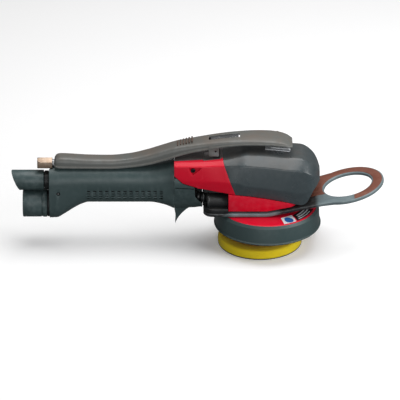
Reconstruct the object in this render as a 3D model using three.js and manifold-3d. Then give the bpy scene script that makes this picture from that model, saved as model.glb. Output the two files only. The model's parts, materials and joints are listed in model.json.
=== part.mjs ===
// Air-driven orbital sander with a long rear handle, a throttle lever over its whole length and a dust hood.
// Millimetres. The origin is the centre of the sanding face, +X points to the front grip and +Z is up.
import * as THREE from "three";
import { mergeVertices } from "three/addons/utils/BufferGeometryUtils.js";
import Module from "manifold-3d";

const wasm = await Module();
wasm.setup();

// ---------------------------------------------------------------- general clearances
const GAP = 0.4; // between pieces that rest on or face each other
const RUN_GAP = 0.6; // between pieces that move past each other
const FAR = 1000; // larger than the object, for cutting tools

// ---------------------------------------------------------------- sanding pad and orbit
const PAD_RADIUS = 62.5;
const HOOK_THICKNESS = 1.6;
const FOAM_THICKNESS = 13;
const BACKING_THICKNESS = 4;
const BACKING_INSET = 2; // the backing plate sits this deep in the foam
const BACKING_RIM = 22; // and is this much smaller in radius
const PAD_HUB_RADIUS = 17;
const PAD_HUB_HEIGHT = 7;
const ORBIT_RADIUS = 5; // the pad's axis stands this far behind the motor's axis
const AXIS_X = ORBIT_RADIUS; // motor axis
const FOAM_BOTTOM_Z = HOOK_THICKNESS + GAP / 2;
const BACKING_BOTTOM_Z = FOAM_BOTTOM_Z + FOAM_THICKNESS - BACKING_INSET;
const PAD_HUB_TOP_Z = BACKING_BOTTOM_Z + BACKING_THICKNESS + PAD_HUB_HEIGHT;

// ---------------------------------------------------------------- dust hood
const HOOD_OFFSET = 6; // hood centre ahead of the motor axis
const HOOD_X = AXIS_X + HOOD_OFFSET;
const SKIRT_BOTTOM_Z = 32.5;
const SKIRT_HEIGHT = 29;
const SKIRT_RADIUS = 79; // outside, at the lower rim
const SKIRT_TAPER = 3; // the upper rim is this much smaller
const SKIRT_WALL = 3;
const HOOD_DISC_THICKNESS = 3;
const HOOD_DISC_DOME = 1.4; // the disc's hub stands this much above its rim
const SKIRT_TOP_Z = SKIRT_BOTTOM_Z + SKIRT_HEIGHT;
const HOOD_DISC_RADIUS = SKIRT_RADIUS - SKIRT_TAPER - SKIRT_WALL - GAP;

// ---------------------------------------------------------------- vane motor
const ROTOR_RADIUS = 24;
const LINER_BORE_RADIUS = 27;
const LINER_OUTER_RADIUS = 32;
const BORE_OFFSET = 2.5; // the liner's bore stands off the rotor's axis
const MOTOR_LENGTH = 38;
const END_PLATE_THICKNESS = 8;
const VANE_COUNT = 5;
const VANE_THICKNESS = 2.4;
const VANE_DEPTH = 9;
const SHAFT_RADIUS = 6;
const BEARING_RADIUS = 14;
const BEARING_HEIGHT = 8;
const CUP_WALL = 3.2; // wall of the motor's cup in the neck housing
const CUP_RADIUS = LINER_OUTER_RADIUS + GAP + CUP_WALL;
const SPINDLE_RADIUS = 6;
const CRANK_RADIUS = 21;
const CRANK_HEIGHT = 14;
const CRANK_BASE_HEIGHT = 3; // solid web above the spindle bearing
const COUNTERWEIGHT_RADIUS = 34;
const COUNTERWEIGHT_HEIGHT = 9;

// ---------------------------------------------------------------- neck, plate and front loop
const COLLAR_RADIUS = 34; // round collar of the neck housing that stands on the hood
const PLATE_THICKNESS = 5;
const PLATE_HALF_WIDTH = 46;
const PLATE_REAR_X = -84;
const PLATE_CORNER_RADIUS = 14;
const PLATE_BEND_X = 10; // the plate turns upwards ahead of this line
const PLATE_PITCH = THREE.MathUtils.degToRad(12.5);
const LOOP_CENTRE_REACH = 129; // along X, from the pad's axis to the loop's centre
const LOOP_OUTER_RADIUS = 54;
const LOOP_INNER_RADIUS = 36;
const GRIP_INSET = 1.8; // edge of the plate left round the brown grip pad
const GRIP_RECESS = 1.2;
const GRIP_STAND = 0.6; // the grip pad's face above the plate's
const GRIP_REAR_REACH = 60; // the pad's rear edge behind the loop's centre
const GRIP_NEAR_EDGE = -17; // the pad stops here on the near side of the neck
const GRIP_NEAR_END = 9; // and picks up again this far ahead of the loop's centre
const PLATE_BOTTOM_Z = SKIRT_TOP_Z + HOOD_DISC_DOME;
const PLATE_TOP_Z = PLATE_BOTTOM_Z + PLATE_THICKNESS;
const NECK_CLEAR_Z = 3; // slot between the plate's top and the red neck
const COVER_CLEAR_Z = 2; // slot between the plate's top and the head cover
const NECK_BOTTOM_Z = PLATE_TOP_Z + NECK_CLEAR_Z;
const NECK_HALF_WIDTH = 43;
const NECK_TOP_INSET = 3.8; // the part inside the head cover is this much narrower
const NECK_REAR_X = -47;
const NECK_FRONT_X = 56;
const NECK_CORNER_RADIUS = 15;
const NECK_HEIGHT = 20;
const NECK_EDGE_XS = [-37, -20, 5, 38]; // where the edge under the head cover bends

// ---------------------------------------------------------------- handle
const HANDLE_FRONT_X = -127;
const HANDLE_LENGTH = 184;
const HANDLE_REAR_X = HANDLE_FRONT_X - HANDLE_LENGTH;
const HANDLE_HALF_WIDTH = 22;
const HANDLE_TOP_Z = 126;
const HANDLE_HEIGHT = 58;
const HANDLE_BOTTOM_Z = HANDLE_TOP_Z - HANDLE_HEIGHT;
const HANDLE_WALL = 2.6;
const REAR_FLARE_DROP = 26; // the rear end reaches this much lower, round the dust port
const REAR_FLARE_LENGTH = 58;
const FRONT_FLARE_DROP = 10.5;
const FRONT_FLARE_LENGTH = 36;
const FRONT_FLARE_WIDEN = 3.5;
const FRONT_RISE = 9; // of the handle's top at its front end
const VENT_COLUMNS = 13;
const VENT_PITCH = 8.9;
const VENT_WIDTH = 4;
const VENT_HEIGHT = 14;
const VENT_CENTRE_Z = HANDLE_BOTTOM_Z + 19;
const VENT_FRONT_X = HANDLE_FRONT_X - 19;

const SCREW_SHANK_RADIUS = 1.9;

// ---------------------------------------------------------------- rear ports
const REAR_CAP_THICKNESS = 5;
const EXHAUST_AXIS_Z = HANDLE_TOP_Z - 24.4;
const EXHAUST_RADIUS = 15;
const EXHAUST_LENGTH = 48; // longest, along the top
const EXHAUST_CUT = 13; // the oblique end takes this much off the underside
const EXHAUST_WALL = 2.4;
const COLLAR_RING_LENGTH = 7;
const DUST_PORT_RADIUS = 21.3;
const DUST_PORT_LENGTH = 36;
const DUST_PORT_WALL = 2.6;
const REAR_WIDEN = 1.5; // the rear end is this much wider on each side
const DUST_AXIS_Z = HANDLE_BOTTOM_Z - REAR_FLARE_DROP + DUST_PORT_RADIUS + 1;
const STUB_FRONT_X = HANDLE_REAR_X + 12;
const INLET_AXIS_Z = HANDLE_TOP_Z + 3.4;
const INLET_HEX_RADIUS = 9; // across the corners, as a radius
const INLET_LENGTH = 22;
const INLET_HEX_FRONT_X = HANDLE_REAR_X + 4.6;
const INLET_BORE_RADIUS = 5.6;
const INLET_BODY_RADIUS = 6;

// ---------------------------------------------------------------- throttle lever and latch
const LEVER_WALL = 2.4;
const LEVER_PIVOT_X = HANDLE_REAR_X + 39;
const LEVER_PIVOT_Z = HANDLE_TOP_Z + 5.5;
const LEVER_PIN_RADIUS = 2;
const LEVER_REAR_X = HANDLE_REAR_X + 8;
const LEVER_FRONT_X = 47;
const PLUNGER_REACH = 55; // from the lever's pin to the valve plunger
const PLUNGER_RADIUS = 3;
const PLUNGER_TRAVEL = 1.6;
const LATCH_X = -66; // latch pin
const LATCH_PIN_RADIUS = 1.5;
const LATCH_WIDTH = 8.4;
const LATCH_REACH = 34; // from the pin to the latch's front end
const SLOT_REAR_X = LATCH_X - 10;
const SLOT_FRONT_X = LATCH_X + LATCH_REACH + 1.9;
const SLOT_WIDTH = 12;
const LUG_LENGTH = 15;
const LUG_DROP = 12.5; // the lug's lower end below the lever's edge

// ---------------------------------------------------------------- stop clip under the lever's front end
const LEVER_TRAVEL = Math.tan(THREE.MathUtils.degToRad(1.6));
const STOP_X = 25;
const CLIP_HEIGHT = 5;
const CLIP_THICKNESS = 1.3;
const CLIP_HALF_WIDTH = 7;

// ---------------------------------------------------------------- duct between hood and handle
const DUCT_RADIUS = 12;
const DUCT_WALL = 2;
const DUCT_Y = -26.5;
const DUCT_BASE_HEIGHT = 6.4;
const DUCT_BASE_INSET = 1.6; // the base stands back this far from the plate's edge
const DUCT_REAR_X = -78;
const DUCT_FRONT_X = -36;
const DUCT_Z = PLATE_TOP_Z + DUCT_RADIUS + GAP;
const ELBOW_RADIUS = 7.6;
const ELBOW_Y = -22;
const ELBOW_RISE = 3.6; // of the elbow's mouth above the duct's axis
const ELBOW_WALL = 1.8;
const BOOT_RADIUS = 12.4; // of the rubber collar round the elbow
const BOOT_THICKNESS = 2.4;
const BOOT_OFFSET = 4.7;
const PIPE_RADIUS = 9;
const PIPE_WALL = 1.5;
const PIPE_Z = HANDLE_BOTTOM_Z + HANDLE_WALL + PIPE_RADIUS + 2;
const ELBOW_END_X = HANDLE_FRONT_X + 12;
const ELBOW_PATH = [
  [DUCT_REAR_X - GAP, ELBOW_Y, DUCT_Z + ELBOW_RISE],
  [DUCT_REAR_X - 7, ELBOW_Y, DUCT_Z + ELBOW_RISE],
  [DUCT_REAR_X - 18, ELBOW_Y * 0.7, PIPE_Z + ELBOW_RISE],
  [ELBOW_END_X + 10, 0, PIPE_Z],
  [ELBOW_END_X, 0, PIPE_Z],
];

// ---------------------------------------------------------------- body and head cover
// Each station is [x, then (half width, z) of the top edge, shoulder, side's lower edge and bottom edge].
const BODY_REAR_X = HANDLE_FRONT_X + GAP;
const BODY_WALL = 2.6;
const HEAD_STATIONS = [
  [BODY_REAR_X, 20, 141, 28, 136.5, 29, 118, 28, 100],
  [-93, 22, 143, 31, 138, 33, 114, 32, 103],
  [-61, 25, 146, 34, 140.5, 39, 117, 38, 100],
  [-37, 26, 151, 38.5, 142.5, 43.5, 117, 42, 97.5],
  [-20, 26, 155, 41.5, 144, 45.5, 113, 43, 96],
  [5, 26, 154.5, 42.5, 142.5, 46, 110, 43, 92.5],
  [38, 26, 150.5, 42.5, 138, 45.5, 104.5, 43, 86],
  [60, 26, 149, 41.5, 135.5, 44.5, 101, 43, 81],
];
// The nose closes the head from the last station.
// Each row is [forward, width factor, drop of the top edge, rise of the side's lower edge, share of the
// part below that edge which is cut back].
const NOSE_STEPS = [
  [8, 0.985, 3.5, 1, 0.12],
  [13, 0.95, 7, 2.5, 0.5],
  [18.5, 0.86, 12, 4.5, 0.9],
  [23.5, 0.63, 18.5, 7, 0.95],
  [27.5, 0.36, 28, 9, 0.97],
];
const SPLIT_TOP = [-60, 160]; // slanted joint between the red body and the head cover, as (x, z)
const SPLIT_BOTTOM = [-34, 90];
const WELL_REAR_X = -84;
const WELL_FRONT_X = -58;
const WELL_HALF_WIDTH = 21;
const WELL_FLOOR_Z = 138.4;
const BRIDGE_HALF_WIDTH = 17.5;
const GUARD_BOTTOM_Z = HANDLE_BOTTOM_Z - FRONT_FLARE_DROP;
const GUARD_FRONT_X = PLATE_REAR_X - 1.4;
const GUARD_LIP_X = -97; // ahead of this line the guard's sides are cut down to show the dust elbow
const GUARD_WEB = 2.4; // rear wall, round the handle's mouth
const SPIGOT_LENGTH = 7;
const FIN_HALF_WIDTH = 9;
const FIN_TIP_Z = 34;

const ROUND = 36; // segments of a large round
const SMALL_ROUND = 20;

// ---------------------------------------------------------------- materials
function finish(color, roughness, metalness) {
  return new THREE.MeshStandardMaterial({ color, roughness, metalness });
}
const MATERIALS = {
  slate: finish(0x3a4a4b, 0.55, 0.05),
  cover: finish(0x47525a, 0.4, 0.1),
  lever: finish(0x6c6e6b, 0.5, 0.1),
  red: finish(0xb51233, 0.35, 0),
  black: finish(0x14171a, 0.5, 0),
  loop: finish(0x6e7b7e, 0.45, 0.1),
  grip: finish(0x6e3018, 0.7, 0),
  foam: finish(0xd8b816, 0.85, 0),
  hook: finish(0x1b1b1c, 0.95, 0),
  brass: finish(0xc3a98a, 0.35, 0.9),
  steel: finish(0x9a9da0, 0.3, 1),
  alloy: finish(0xa9acae, 0.45, 0.9),
  resin: finish(0x5b4632, 0.7, 0),
};

// ---------------------------------------------------------------- solids
// Turns a closed three.js geometry into a solid, facing out whichever way its profile ran.
function solid(geometry) {
  const bare = geometry.clone();
  bare.deleteAttribute("normal");
  bare.deleteAttribute("uv");
  const merged = mergeVertices(bare, 1e-4);
  const vertProperties = merged.attributes.position.array;
  const triVerts = new Uint32Array(merged.index.array);
  const made = new wasm.Manifold(new wasm.Mesh({ numProp: 3, vertProperties, triVerts }));
  if (made.volume() > 0) return made;
  for (let i = 0; i < triVerts.length; i += 3) {
    [triVerts[i + 1], triVerts[i + 2]] = [triVerts[i + 2], triVerts[i + 1]];
  }
  return new wasm.Manifold(new wasm.Mesh({ numProp: 3, vertProperties, triVerts }));
}

// A box between two corners.
function block(low, high) {
  const size = high.map((v, i) => v - low[i]);
  const middle = high.map((v, i) => (v + low[i]) / 2);
  return solid(new THREE.BoxGeometry(...size).translate(...middle));
}

// A cylinder or cone along "x", "y" or "z", from one end to the other, centred on the other two coordinates.
function rod(along, from, to, centre, radius, endRadius = radius, sides = SMALL_ROUND) {
  const geometry = new THREE.CylinderGeometry(endRadius, radius, to - from, sides);
  const middle = (from + to) / 2;
  if (along === "x") geometry.rotateZ(-Math.PI / 2).translate(middle, centre[0], centre[1]);
  if (along === "y") geometry.translate(centre[0], middle, centre[1]);
  if (along === "z") geometry.rotateX(Math.PI / 2).translate(centre[0], centre[1], middle);
  return solid(geometry);
}

// A tube along one axis.
function tube(along, from, to, centre, radius, wall, sides = SMALL_ROUND) {
  const bore = rod(along, from - 1, to + 1, centre, radius - wall, radius - wall, sides);
  return rod(along, from, to, centre, radius, radius, sides).subtract(bore);
}

// A profile of (radius, z) points turned about a vertical axis, from the axis back to the axis.
function turned(profile, x, y = 0, sides = ROUND) {
  const points = profile.map(([r, z]) => new THREE.Vector2(r, z));
  return solid(new THREE.LatheGeometry(points, sides).rotateX(Math.PI / 2).translate(x, y, 0));
}

// A side outline of (x, z) points, as thick as twice the half width.
function sideCut(outline, halfWidth) {
  const shape = new THREE.Shape(outline.map(([x, z]) => new THREE.Vector2(x, z)));
  const geometry = new THREE.ExtrudeGeometry(shape, { depth: 2 * halfWidth, bevelEnabled: false });
  return solid(geometry.rotateX(Math.PI / 2).translate(0, halfWidth, 0));
}

// A plan outline extruded upwards.
function planCut(shape, from, to, curveSegments = 10) {
  const geometry = new THREE.ExtrudeGeometry(shape,
      { depth: to - from, bevelEnabled: false, curveSegments });
  return solid(geometry.translate(0, 0, from));
}

// A closed skin through rings of (y, z) points, all with the same number of points, at rising x.
function loft(rings) {
  const count = rings[0].points.length;
  const positions = rings.flatMap(({ x, points }) => points.flatMap(([y, z]) => [x, y, z]));
  const index = [];
  for (let r = 0; r < rings.length - 1; r += 1) {
    for (let i = 0; i < count; i += 1) {
      const a = r * count + i;
      const b = r * count + ((i + 1) % count);
      index.push(a, b, a + count, b, b + count, a + count);
    }
  }
  const last = (rings.length - 1) * count;
  for (let i = 1; i < count - 1; i += 1) {
    index.push(0, i + 1, i, last, last + i, last + i + 1);
  }
  const geometry = new THREE.BufferGeometry();
  geometry.setAttribute("position", new THREE.Float32BufferAttribute(positions, 3));
  geometry.setIndex(index);
  return solid(geometry);
}

// A ring with flat sides and round top and bottom.
function stadiumRing(halfWidth, bottom, top, perArc = 9) {
  const radius = Math.min(halfWidth, (top - bottom) / 2);
  const points = [];
  for (let i = 0; i <= perArc; i += 1) {
    const a = (Math.PI * i) / perArc;
    points.push([halfWidth * Math.cos(a), top - radius + radius * Math.sin(a)]);
  }
  for (let i = 0; i <= perArc; i += 1) {
    const a = Math.PI + (Math.PI * i) / perArc;
    points.push([halfWidth * Math.cos(a), bottom + radius + radius * Math.sin(a)]);
  }
  return points;
}

// A round section swept along a smooth curve.
function sweep(points, radius, steps, sides = 12) {
  const curve = new THREE.CatmullRomCurve3(points.map((p) => new THREE.Vector3(...p)));
  const section = new THREE.Shape();
  for (let i = 0; i < sides; i += 1) {
    const a = (2 * Math.PI * i) / sides;
    section[i ? "lineTo" : "moveTo"](radius * Math.cos(a), radius * Math.sin(a));
  }
  return solid(new THREE.ExtrudeGeometry(section, { steps, extrudePath: curve, bevelEnabled: false }));
}

// A pipe along a smooth curve, open at both ends.
function pipeAlong(points, radius, wall, steps) {
  const stretched = points.map((p) => [...p]);
  const past = (end, next) => end.map((v, i) => v + (v - next[i]) * 0.1);
  stretched[0] = past(points[0], points[1]);
  stretched[points.length - 1] = past(points[points.length - 1], points[points.length - 2]);
  const bore = sweep(stretched, radius - wall, steps, 14);
  return sweep(points, radius, steps, 14).subtract(bore);
}

const group = new THREE.Group();

// Adds a solid to the model as one named mesh.
function add(name, body, material) {
  const { numProp, vertProperties, triVerts } = body.getMesh();
  const positions = new Float32Array((vertProperties.length / numProp) * 3);
  for (let i = 0; i < positions.length / 3; i += 1) {
    positions.set(vertProperties.subarray(i * numProp, i * numProp + 3), i * 3);
  }
  const geometry = new THREE.BufferGeometry();
  geometry.setAttribute("position", new THREE.BufferAttribute(positions, 3));
  geometry.setIndex(new THREE.BufferAttribute(new Uint32Array(triVerts), 1));
  geometry.computeVertexNormals();
  const mesh = new THREE.Mesh(geometry, material);
  mesh.name = name;
  group.add(mesh);
}

// The half of a solid on one side of the middle plane: -1 is the near side, 1 the far side.
function half(body, side) {
  const low = [-FAR, side < 0 ? -FAR : GAP / 2, -FAR];
  const high = [FAR, side < 0 ? -GAP / 2 : FAR, FAR];
  return body.intersect(block(low, high));
}

const SIDES = [
  ["near", -1],
  ["far", 1],
];

// ---------------------------------------------------------------- sanding pad
function makePad() {
  add("hook_face", turned([[0, 0], [PAD_RADIUS, 0], [PAD_RADIUS, HOOK_THICKNESS], [0, HOOK_THICKNESS]], 0),
      MATERIALS.hook);
  const foamTop = FOAM_BOTTOM_Z + FOAM_THICKNESS;
  const crown = 3.5; // the foam's upper edge is rounded by this much
  const rim = PAD_RADIUS - BACKING_RIM;
  const foam = [
    [0, FOAM_BOTTOM_Z],
    [PAD_RADIUS, FOAM_BOTTOM_Z],
    [PAD_RADIUS, foamTop - crown],
    [PAD_RADIUS - crown * 0.3, foamTop - crown * 0.3],
    [PAD_RADIUS - crown, foamTop],
    [rim + GAP, foamTop],
    [rim + GAP, BACKING_BOTTOM_Z - GAP],
    [0, BACKING_BOTTOM_Z - GAP],
  ];
  add("pad_foam", turned(foam, 0), MATERIALS.foam);
  const stud = SPINDLE_RADIUS - 2;
  const backing = [
    [stud + RUN_GAP, BACKING_BOTTOM_Z],
    [rim, BACKING_BOTTOM_Z],
    [rim, BACKING_BOTTOM_Z + BACKING_THICKNESS / 2],
    [PAD_HUB_RADIUS + 10, BACKING_BOTTOM_Z + BACKING_THICKNESS],
    [PAD_HUB_RADIUS, BACKING_BOTTOM_Z + BACKING_THICKNESS],
    [PAD_HUB_RADIUS, PAD_HUB_TOP_Z],
    [stud + RUN_GAP, PAD_HUB_TOP_Z],
    [stud + RUN_GAP, BACKING_BOTTOM_Z],
  ];
  add("backing_plate", turned(backing, 0), MATERIALS.black);
}

// ---------------------------------------------------------------- crank and pad spindle
const CRANK_BOTTOM_Z = PAD_HUB_TOP_Z + 2.5;
const CRANK_TOP_Z = CRANK_BOTTOM_Z + CRANK_HEIGHT;
const SPINDLE_BEARING_Z = CRANK_BOTTOM_Z + 2;

function makeCrank() {
  const web = rod("z", CRANK_BOTTOM_Z, CRANK_TOP_Z, [AXIS_X, 0], CRANK_RADIUS, CRANK_RADIUS, ROUND);
  const weightTop = CRANK_BOTTOM_Z + COUNTERWEIGHT_HEIGHT;
  const weight = rod("z", CRANK_BOTTOM_Z, weightTop, [AXIS_X, 0], COUNTERWEIGHT_RADIUS,
      COUNTERWEIGHT_RADIUS, ROUND)
    .intersect(block([AXIS_X + 6, -FAR, -FAR], [FAR, FAR, FAR]));
  const bore = rod("z", CRANK_BOTTOM_Z - 1, CRANK_TOP_Z - CRANK_BASE_HEIGHT, [0, 0], BEARING_RADIUS + GAP);
  const shaft = rod("z", CRANK_TOP_Z - 1, ROTOR_BOTTOM_Z + 1, [AXIS_X, 0], SHAFT_RADIUS);
  const rotorSeat = rod("z", ROTOR_BOTTOM_Z, SHAFT_TOP_Z, [AXIS_X, 0], SHAFT_RADIUS);
  add("crank_shaft", web.add(weight).subtract(bore).add(shaft).add(rotorSeat), MATERIALS.steel);
  const bearingTop = SPINDLE_BEARING_Z + BEARING_HEIGHT;
  add("spindle_bearing", tube("z", SPINDLE_BEARING_Z, bearingTop, [0, 0], BEARING_RADIUS,
      BEARING_RADIUS - SPINDLE_RADIUS - RUN_GAP),
    MATERIALS.steel);
}

function makeSpindle() {
  const flangeBottom = PAD_HUB_TOP_Z + GAP;
  const flange = rod("z", flangeBottom, CRANK_BOTTOM_Z - RUN_GAP, [0, 0], SPINDLE_RADIUS + 5);
  const journal = rod("z", flangeBottom, SPINDLE_BEARING_Z + BEARING_HEIGHT, [0, 0], SPINDLE_RADIUS);
  add("pad_spindle", flange.add(journal), MATERIALS.steel);
  const stud = rod("z", BACKING_BOTTOM_Z, PAD_HUB_TOP_Z, [0, 0], SPINDLE_RADIUS - 2);
  add("pad_stud", stud, MATERIALS.steel);
}

// ---------------------------------------------------------------- vane motor
const COLLAR_BOTTOM_Z = PLATE_BOTTOM_Z;
const LOWER_PLATE_Z = NECK_BOTTOM_Z;
const ROTOR_BOTTOM_Z = LOWER_PLATE_Z + END_PLATE_THICKNESS + GAP;
const ROTOR_TOP_Z = ROTOR_BOTTOM_Z + MOTOR_LENGTH;
const UPPER_PLATE_Z = ROTOR_TOP_Z + GAP;
const SHAFT_TOP_Z = UPPER_PLATE_Z + END_PLATE_THICKNESS;
const CLAMP_RING_HEIGHT = 4;
const CUP_TOP_Z = UPPER_PLATE_Z + END_PLATE_THICKNESS + CLAMP_RING_HEIGHT + GAP;

const vaneAngle = (i) => (Math.PI * (2 * i + 1)) / VANE_COUNT;

function makeMotor() {
  const liner = rod("z", ROTOR_BOTTOM_Z, ROTOR_TOP_Z, [AXIS_X, 0], LINER_OUTER_RADIUS, LINER_OUTER_RADIUS,
      ROUND)
    .subtract(rod("z", 0, FAR, [AXIS_X - BORE_OFFSET, 0], LINER_BORE_RADIUS, LINER_BORE_RADIUS, ROUND));
  add("motor_liner", liner, MATERIALS.steel);
  let rotor = rod("z", ROTOR_BOTTOM_Z + GAP, ROTOR_TOP_Z - GAP, [AXIS_X, 0], ROTOR_RADIUS, ROTOR_RADIUS,
      ROUND);
  rotor = rotor.subtract(rod("z", 0, FAR, [AXIS_X, 0], SHAFT_RADIUS + GAP));
  for (let i = 0; i < VANE_COUNT; i += 1) {
    const slotDepth = VANE_DEPTH + 1.2;
    const slotHalf = VANE_THICKNESS / 2 + GAP;
    const slot = block([ROTOR_RADIUS - slotDepth, -slotHalf, 0], [ROTOR_RADIUS + 5, slotHalf, FAR]);
    const turn = THREE.MathUtils.radToDeg(vaneAngle(i));
    rotor = rotor.subtract(slot.rotate([0, 0, turn]).translate([AXIS_X, 0, 0]));
    const inner = ROTOR_RADIUS - VANE_DEPTH - GAP;
    const vane = block([inner, -VANE_THICKNESS / 2, ROTOR_BOTTOM_Z + 2 * GAP],
      [inner + VANE_DEPTH, VANE_THICKNESS / 2, ROTOR_TOP_Z - 2 * GAP]);
    add(`vane_${i + 1}`, vane.rotate([0, 0, turn]).translate([AXIS_X, 0, 0]), MATERIALS.resin);
  }
  add("rotor", rotor, MATERIALS.steel);
  const plates = [
    ["lower", LOWER_PLATE_Z + GAP, ROTOR_BOTTOM_Z - GAP],
    ["upper", UPPER_PLATE_Z, UPPER_PLATE_Z + END_PLATE_THICKNESS - GAP],
  ];
  for (const [name, from, to] of plates) {
    const plate = tube("z", from, to, [AXIS_X, 0], LINER_OUTER_RADIUS,
        LINER_OUTER_RADIUS - BEARING_RADIUS - GAP, ROUND);
    add(`${name}_end_plate`, plate, MATERIALS.alloy);
    const race = tube("z", from, to, [AXIS_X, 0], BEARING_RADIUS, BEARING_RADIUS - SHAFT_RADIUS - GAP);
    add(`${name}_bearing`, race, MATERIALS.steel);
  }
  const ringZ = UPPER_PLATE_Z + END_PLATE_THICKNESS;
  const ring = tube("z", ringZ, ringZ + CLAMP_RING_HEIGHT, [AXIS_X, 0], LINER_OUTER_RADIUS,
      LINER_OUTER_RADIUS - BEARING_RADIUS - 8, ROUND);
  add("motor_clamp_ring", ring, MATERIALS.alloy);
}

// ---------------------------------------------------------------- neck housing
// Plan outline of the neck, straight along its sides and rounded in front.
function neckPlan(inset) {
  const plan = new THREE.Shape();
  const width = NECK_HALF_WIDTH - inset;
  const nose = NECK_FRONT_X - inset - NECK_CORNER_RADIUS;
  const flank = width - NECK_CORNER_RADIUS;
  plan.moveTo(NECK_REAR_X, -width);
  plan.lineTo(nose, -width);
  plan.absarc(nose, -flank, NECK_CORNER_RADIUS, -Math.PI / 2, 0, false);
  plan.absarc(nose, flank, NECK_CORNER_RADIUS, 0, Math.PI / 2, false);
  plan.lineTo(NECK_REAR_X, width);
  return planCut(plan, 0, FAR);
}

// Height of the head cover's lower edge.
function coverBottomAt(x) {
  const i = HEAD_STATIONS.findIndex((s) => s[0] >= x);
  const [a, b] = [HEAD_STATIONS[i - 1], HEAD_STATIONS[i]];
  const flat = a[8] + ((b[8] - a[8]) * (x - a[0])) / (b[0] - a[0]);
  return Math.max(flat, plateTopAt(x) + COVER_CLEAR_Z);
}

function makeNeck() {
  const front = Math.min(plateTopAt(NECK_FRONT_X) + NECK_CLEAR_Z, coverBottomAt(NECK_FRONT_X) - 4 * GAP);
  const bottom = [[NECK_REAR_X, NECK_BOTTOM_Z], [PLATE_BEND_X, NECK_BOTTOM_Z], [NECK_FRONT_X, front]];
  const coverEdge = [NECK_REAR_X, ...NECK_EDGE_XS, NECK_FRONT_X]
      .map((x) => [x, coverBottomAt(x) - 2 * GAP]).reverse();
  const skirting = sideCut([...bottom, ...coverEdge], NECK_HALF_WIDTH).intersect(neckPlan(0));
  const top = NECK_BOTTOM_Z + NECK_HEIGHT;
  const core = sideCut([...bottom, [NECK_FRONT_X, top], [NECK_REAR_X, top]], FAR)
      .intersect(neckPlan(NECK_TOP_INSET));
  const collar = rod("z", COLLAR_BOTTOM_Z, NECK_BOTTOM_Z + 6, [AXIS_X, 0], COLLAR_RADIUS, COLLAR_RADIUS,
      ROUND);
  const cup = rod("z", NECK_BOTTOM_Z + 2, CUP_TOP_Z, [AXIS_X, 0], CUP_RADIUS, CUP_RADIUS, ROUND);
  const bore = rod("z", LOWER_PLATE_Z, FAR, [AXIS_X, 0], LINER_OUTER_RADIUS + GAP, LINER_OUTER_RADIUS + GAP,
      ROUND);
  const shaftBore = rod("z", 0, FAR, [AXIS_X, 0], SHAFT_RADIUS + 4);
  const ductSeat = rod("x", NECK_REAR_X - 1, DUCT_FRONT_X + GAP, [DUCT_Y, DUCT_Z], DUCT_RADIUS + GAP);
  const body = skirting.add(core).add(collar).add(cup);
  add("neck_housing", body.subtract(bore).subtract(shaftBore).subtract(ductSeat), MATERIALS.red);
}

// ---------------------------------------------------------------- hood
function makeHood() {
  const top = SKIRT_RADIUS - SKIRT_TAPER;
  const lip = 2; // rounded upper edge
  const skirt = [
    [SKIRT_RADIUS - SKIRT_WALL, SKIRT_BOTTOM_Z],
    [SKIRT_RADIUS, SKIRT_BOTTOM_Z],
    [SKIRT_RADIUS + 0.5, SKIRT_BOTTOM_Z + 2.5],
    [top, SKIRT_TOP_Z - lip],
    [top - lip * 0.3, SKIRT_TOP_Z - lip * 0.3],
    [top - lip, SKIRT_TOP_Z],
    [top - SKIRT_WALL, SKIRT_TOP_Z],
    [top - SKIRT_WALL, SKIRT_TOP_Z - HOOD_DISC_THICKNESS - 3],
    [SKIRT_RADIUS - SKIRT_WALL, SKIRT_BOTTOM_Z],
  ];
  add("hood_skirt", turned(skirt, HOOD_X, 0, 48), MATERIALS.slate);
  const under = SKIRT_TOP_Z - HOOD_DISC_THICKNESS;
  const flat = COLLAR_RADIUS + 14;
  const disc = [
    [0, under + HOOD_DISC_DOME - GAP],
    [flat, under + HOOD_DISC_DOME - GAP],
    [HOOD_DISC_RADIUS, under - GAP],
    [HOOD_DISC_RADIUS, SKIRT_TOP_Z - GAP],
    [flat, SKIRT_TOP_Z + HOOD_DISC_DOME - GAP],
    [0, SKIRT_TOP_Z + HOOD_DISC_DOME - GAP],
  ];
  const shaftHole = rod("z", 0, FAR, [AXIS_X, 0], SHAFT_RADIUS + 4);
  add("hood_disc", turned(disc, HOOD_X, 0, 48).subtract(shaftHole), MATERIALS.red);
}

// ---------------------------------------------------------------- loop plate and its grip pad
// The loop's own flat frame starts at the bend line; placing it turns it up by the plate's pitch.
function onRamp(body) {
  return body.rotate([0, -THREE.MathUtils.radToDeg(PLATE_PITCH), 0])
      .translate([PLATE_BEND_X, 0, PLATE_TOP_Z]);
}

const LOOP_REACH = (LOOP_CENTRE_REACH - PLATE_BEND_X) / Math.cos(PLATE_PITCH);

function loopOutline(inset, startX) {
  const outline = new THREE.Shape();
  const width = PLATE_HALF_WIDTH - inset;
  const radius = LOOP_OUTER_RADIUS - inset;
  const meet = Math.acos(Math.min(0.999, width / radius)); // where the straight edge meets the round one
  outline.moveTo(startX, -width);
  outline.lineTo(LOOP_REACH - radius * Math.sin(meet), -width);
  outline.absarc(LOOP_REACH, 0, radius, -Math.PI / 2 - meet, Math.PI / 2 + meet, false);
  outline.lineTo(startX, width);
  return outline;
}

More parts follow.
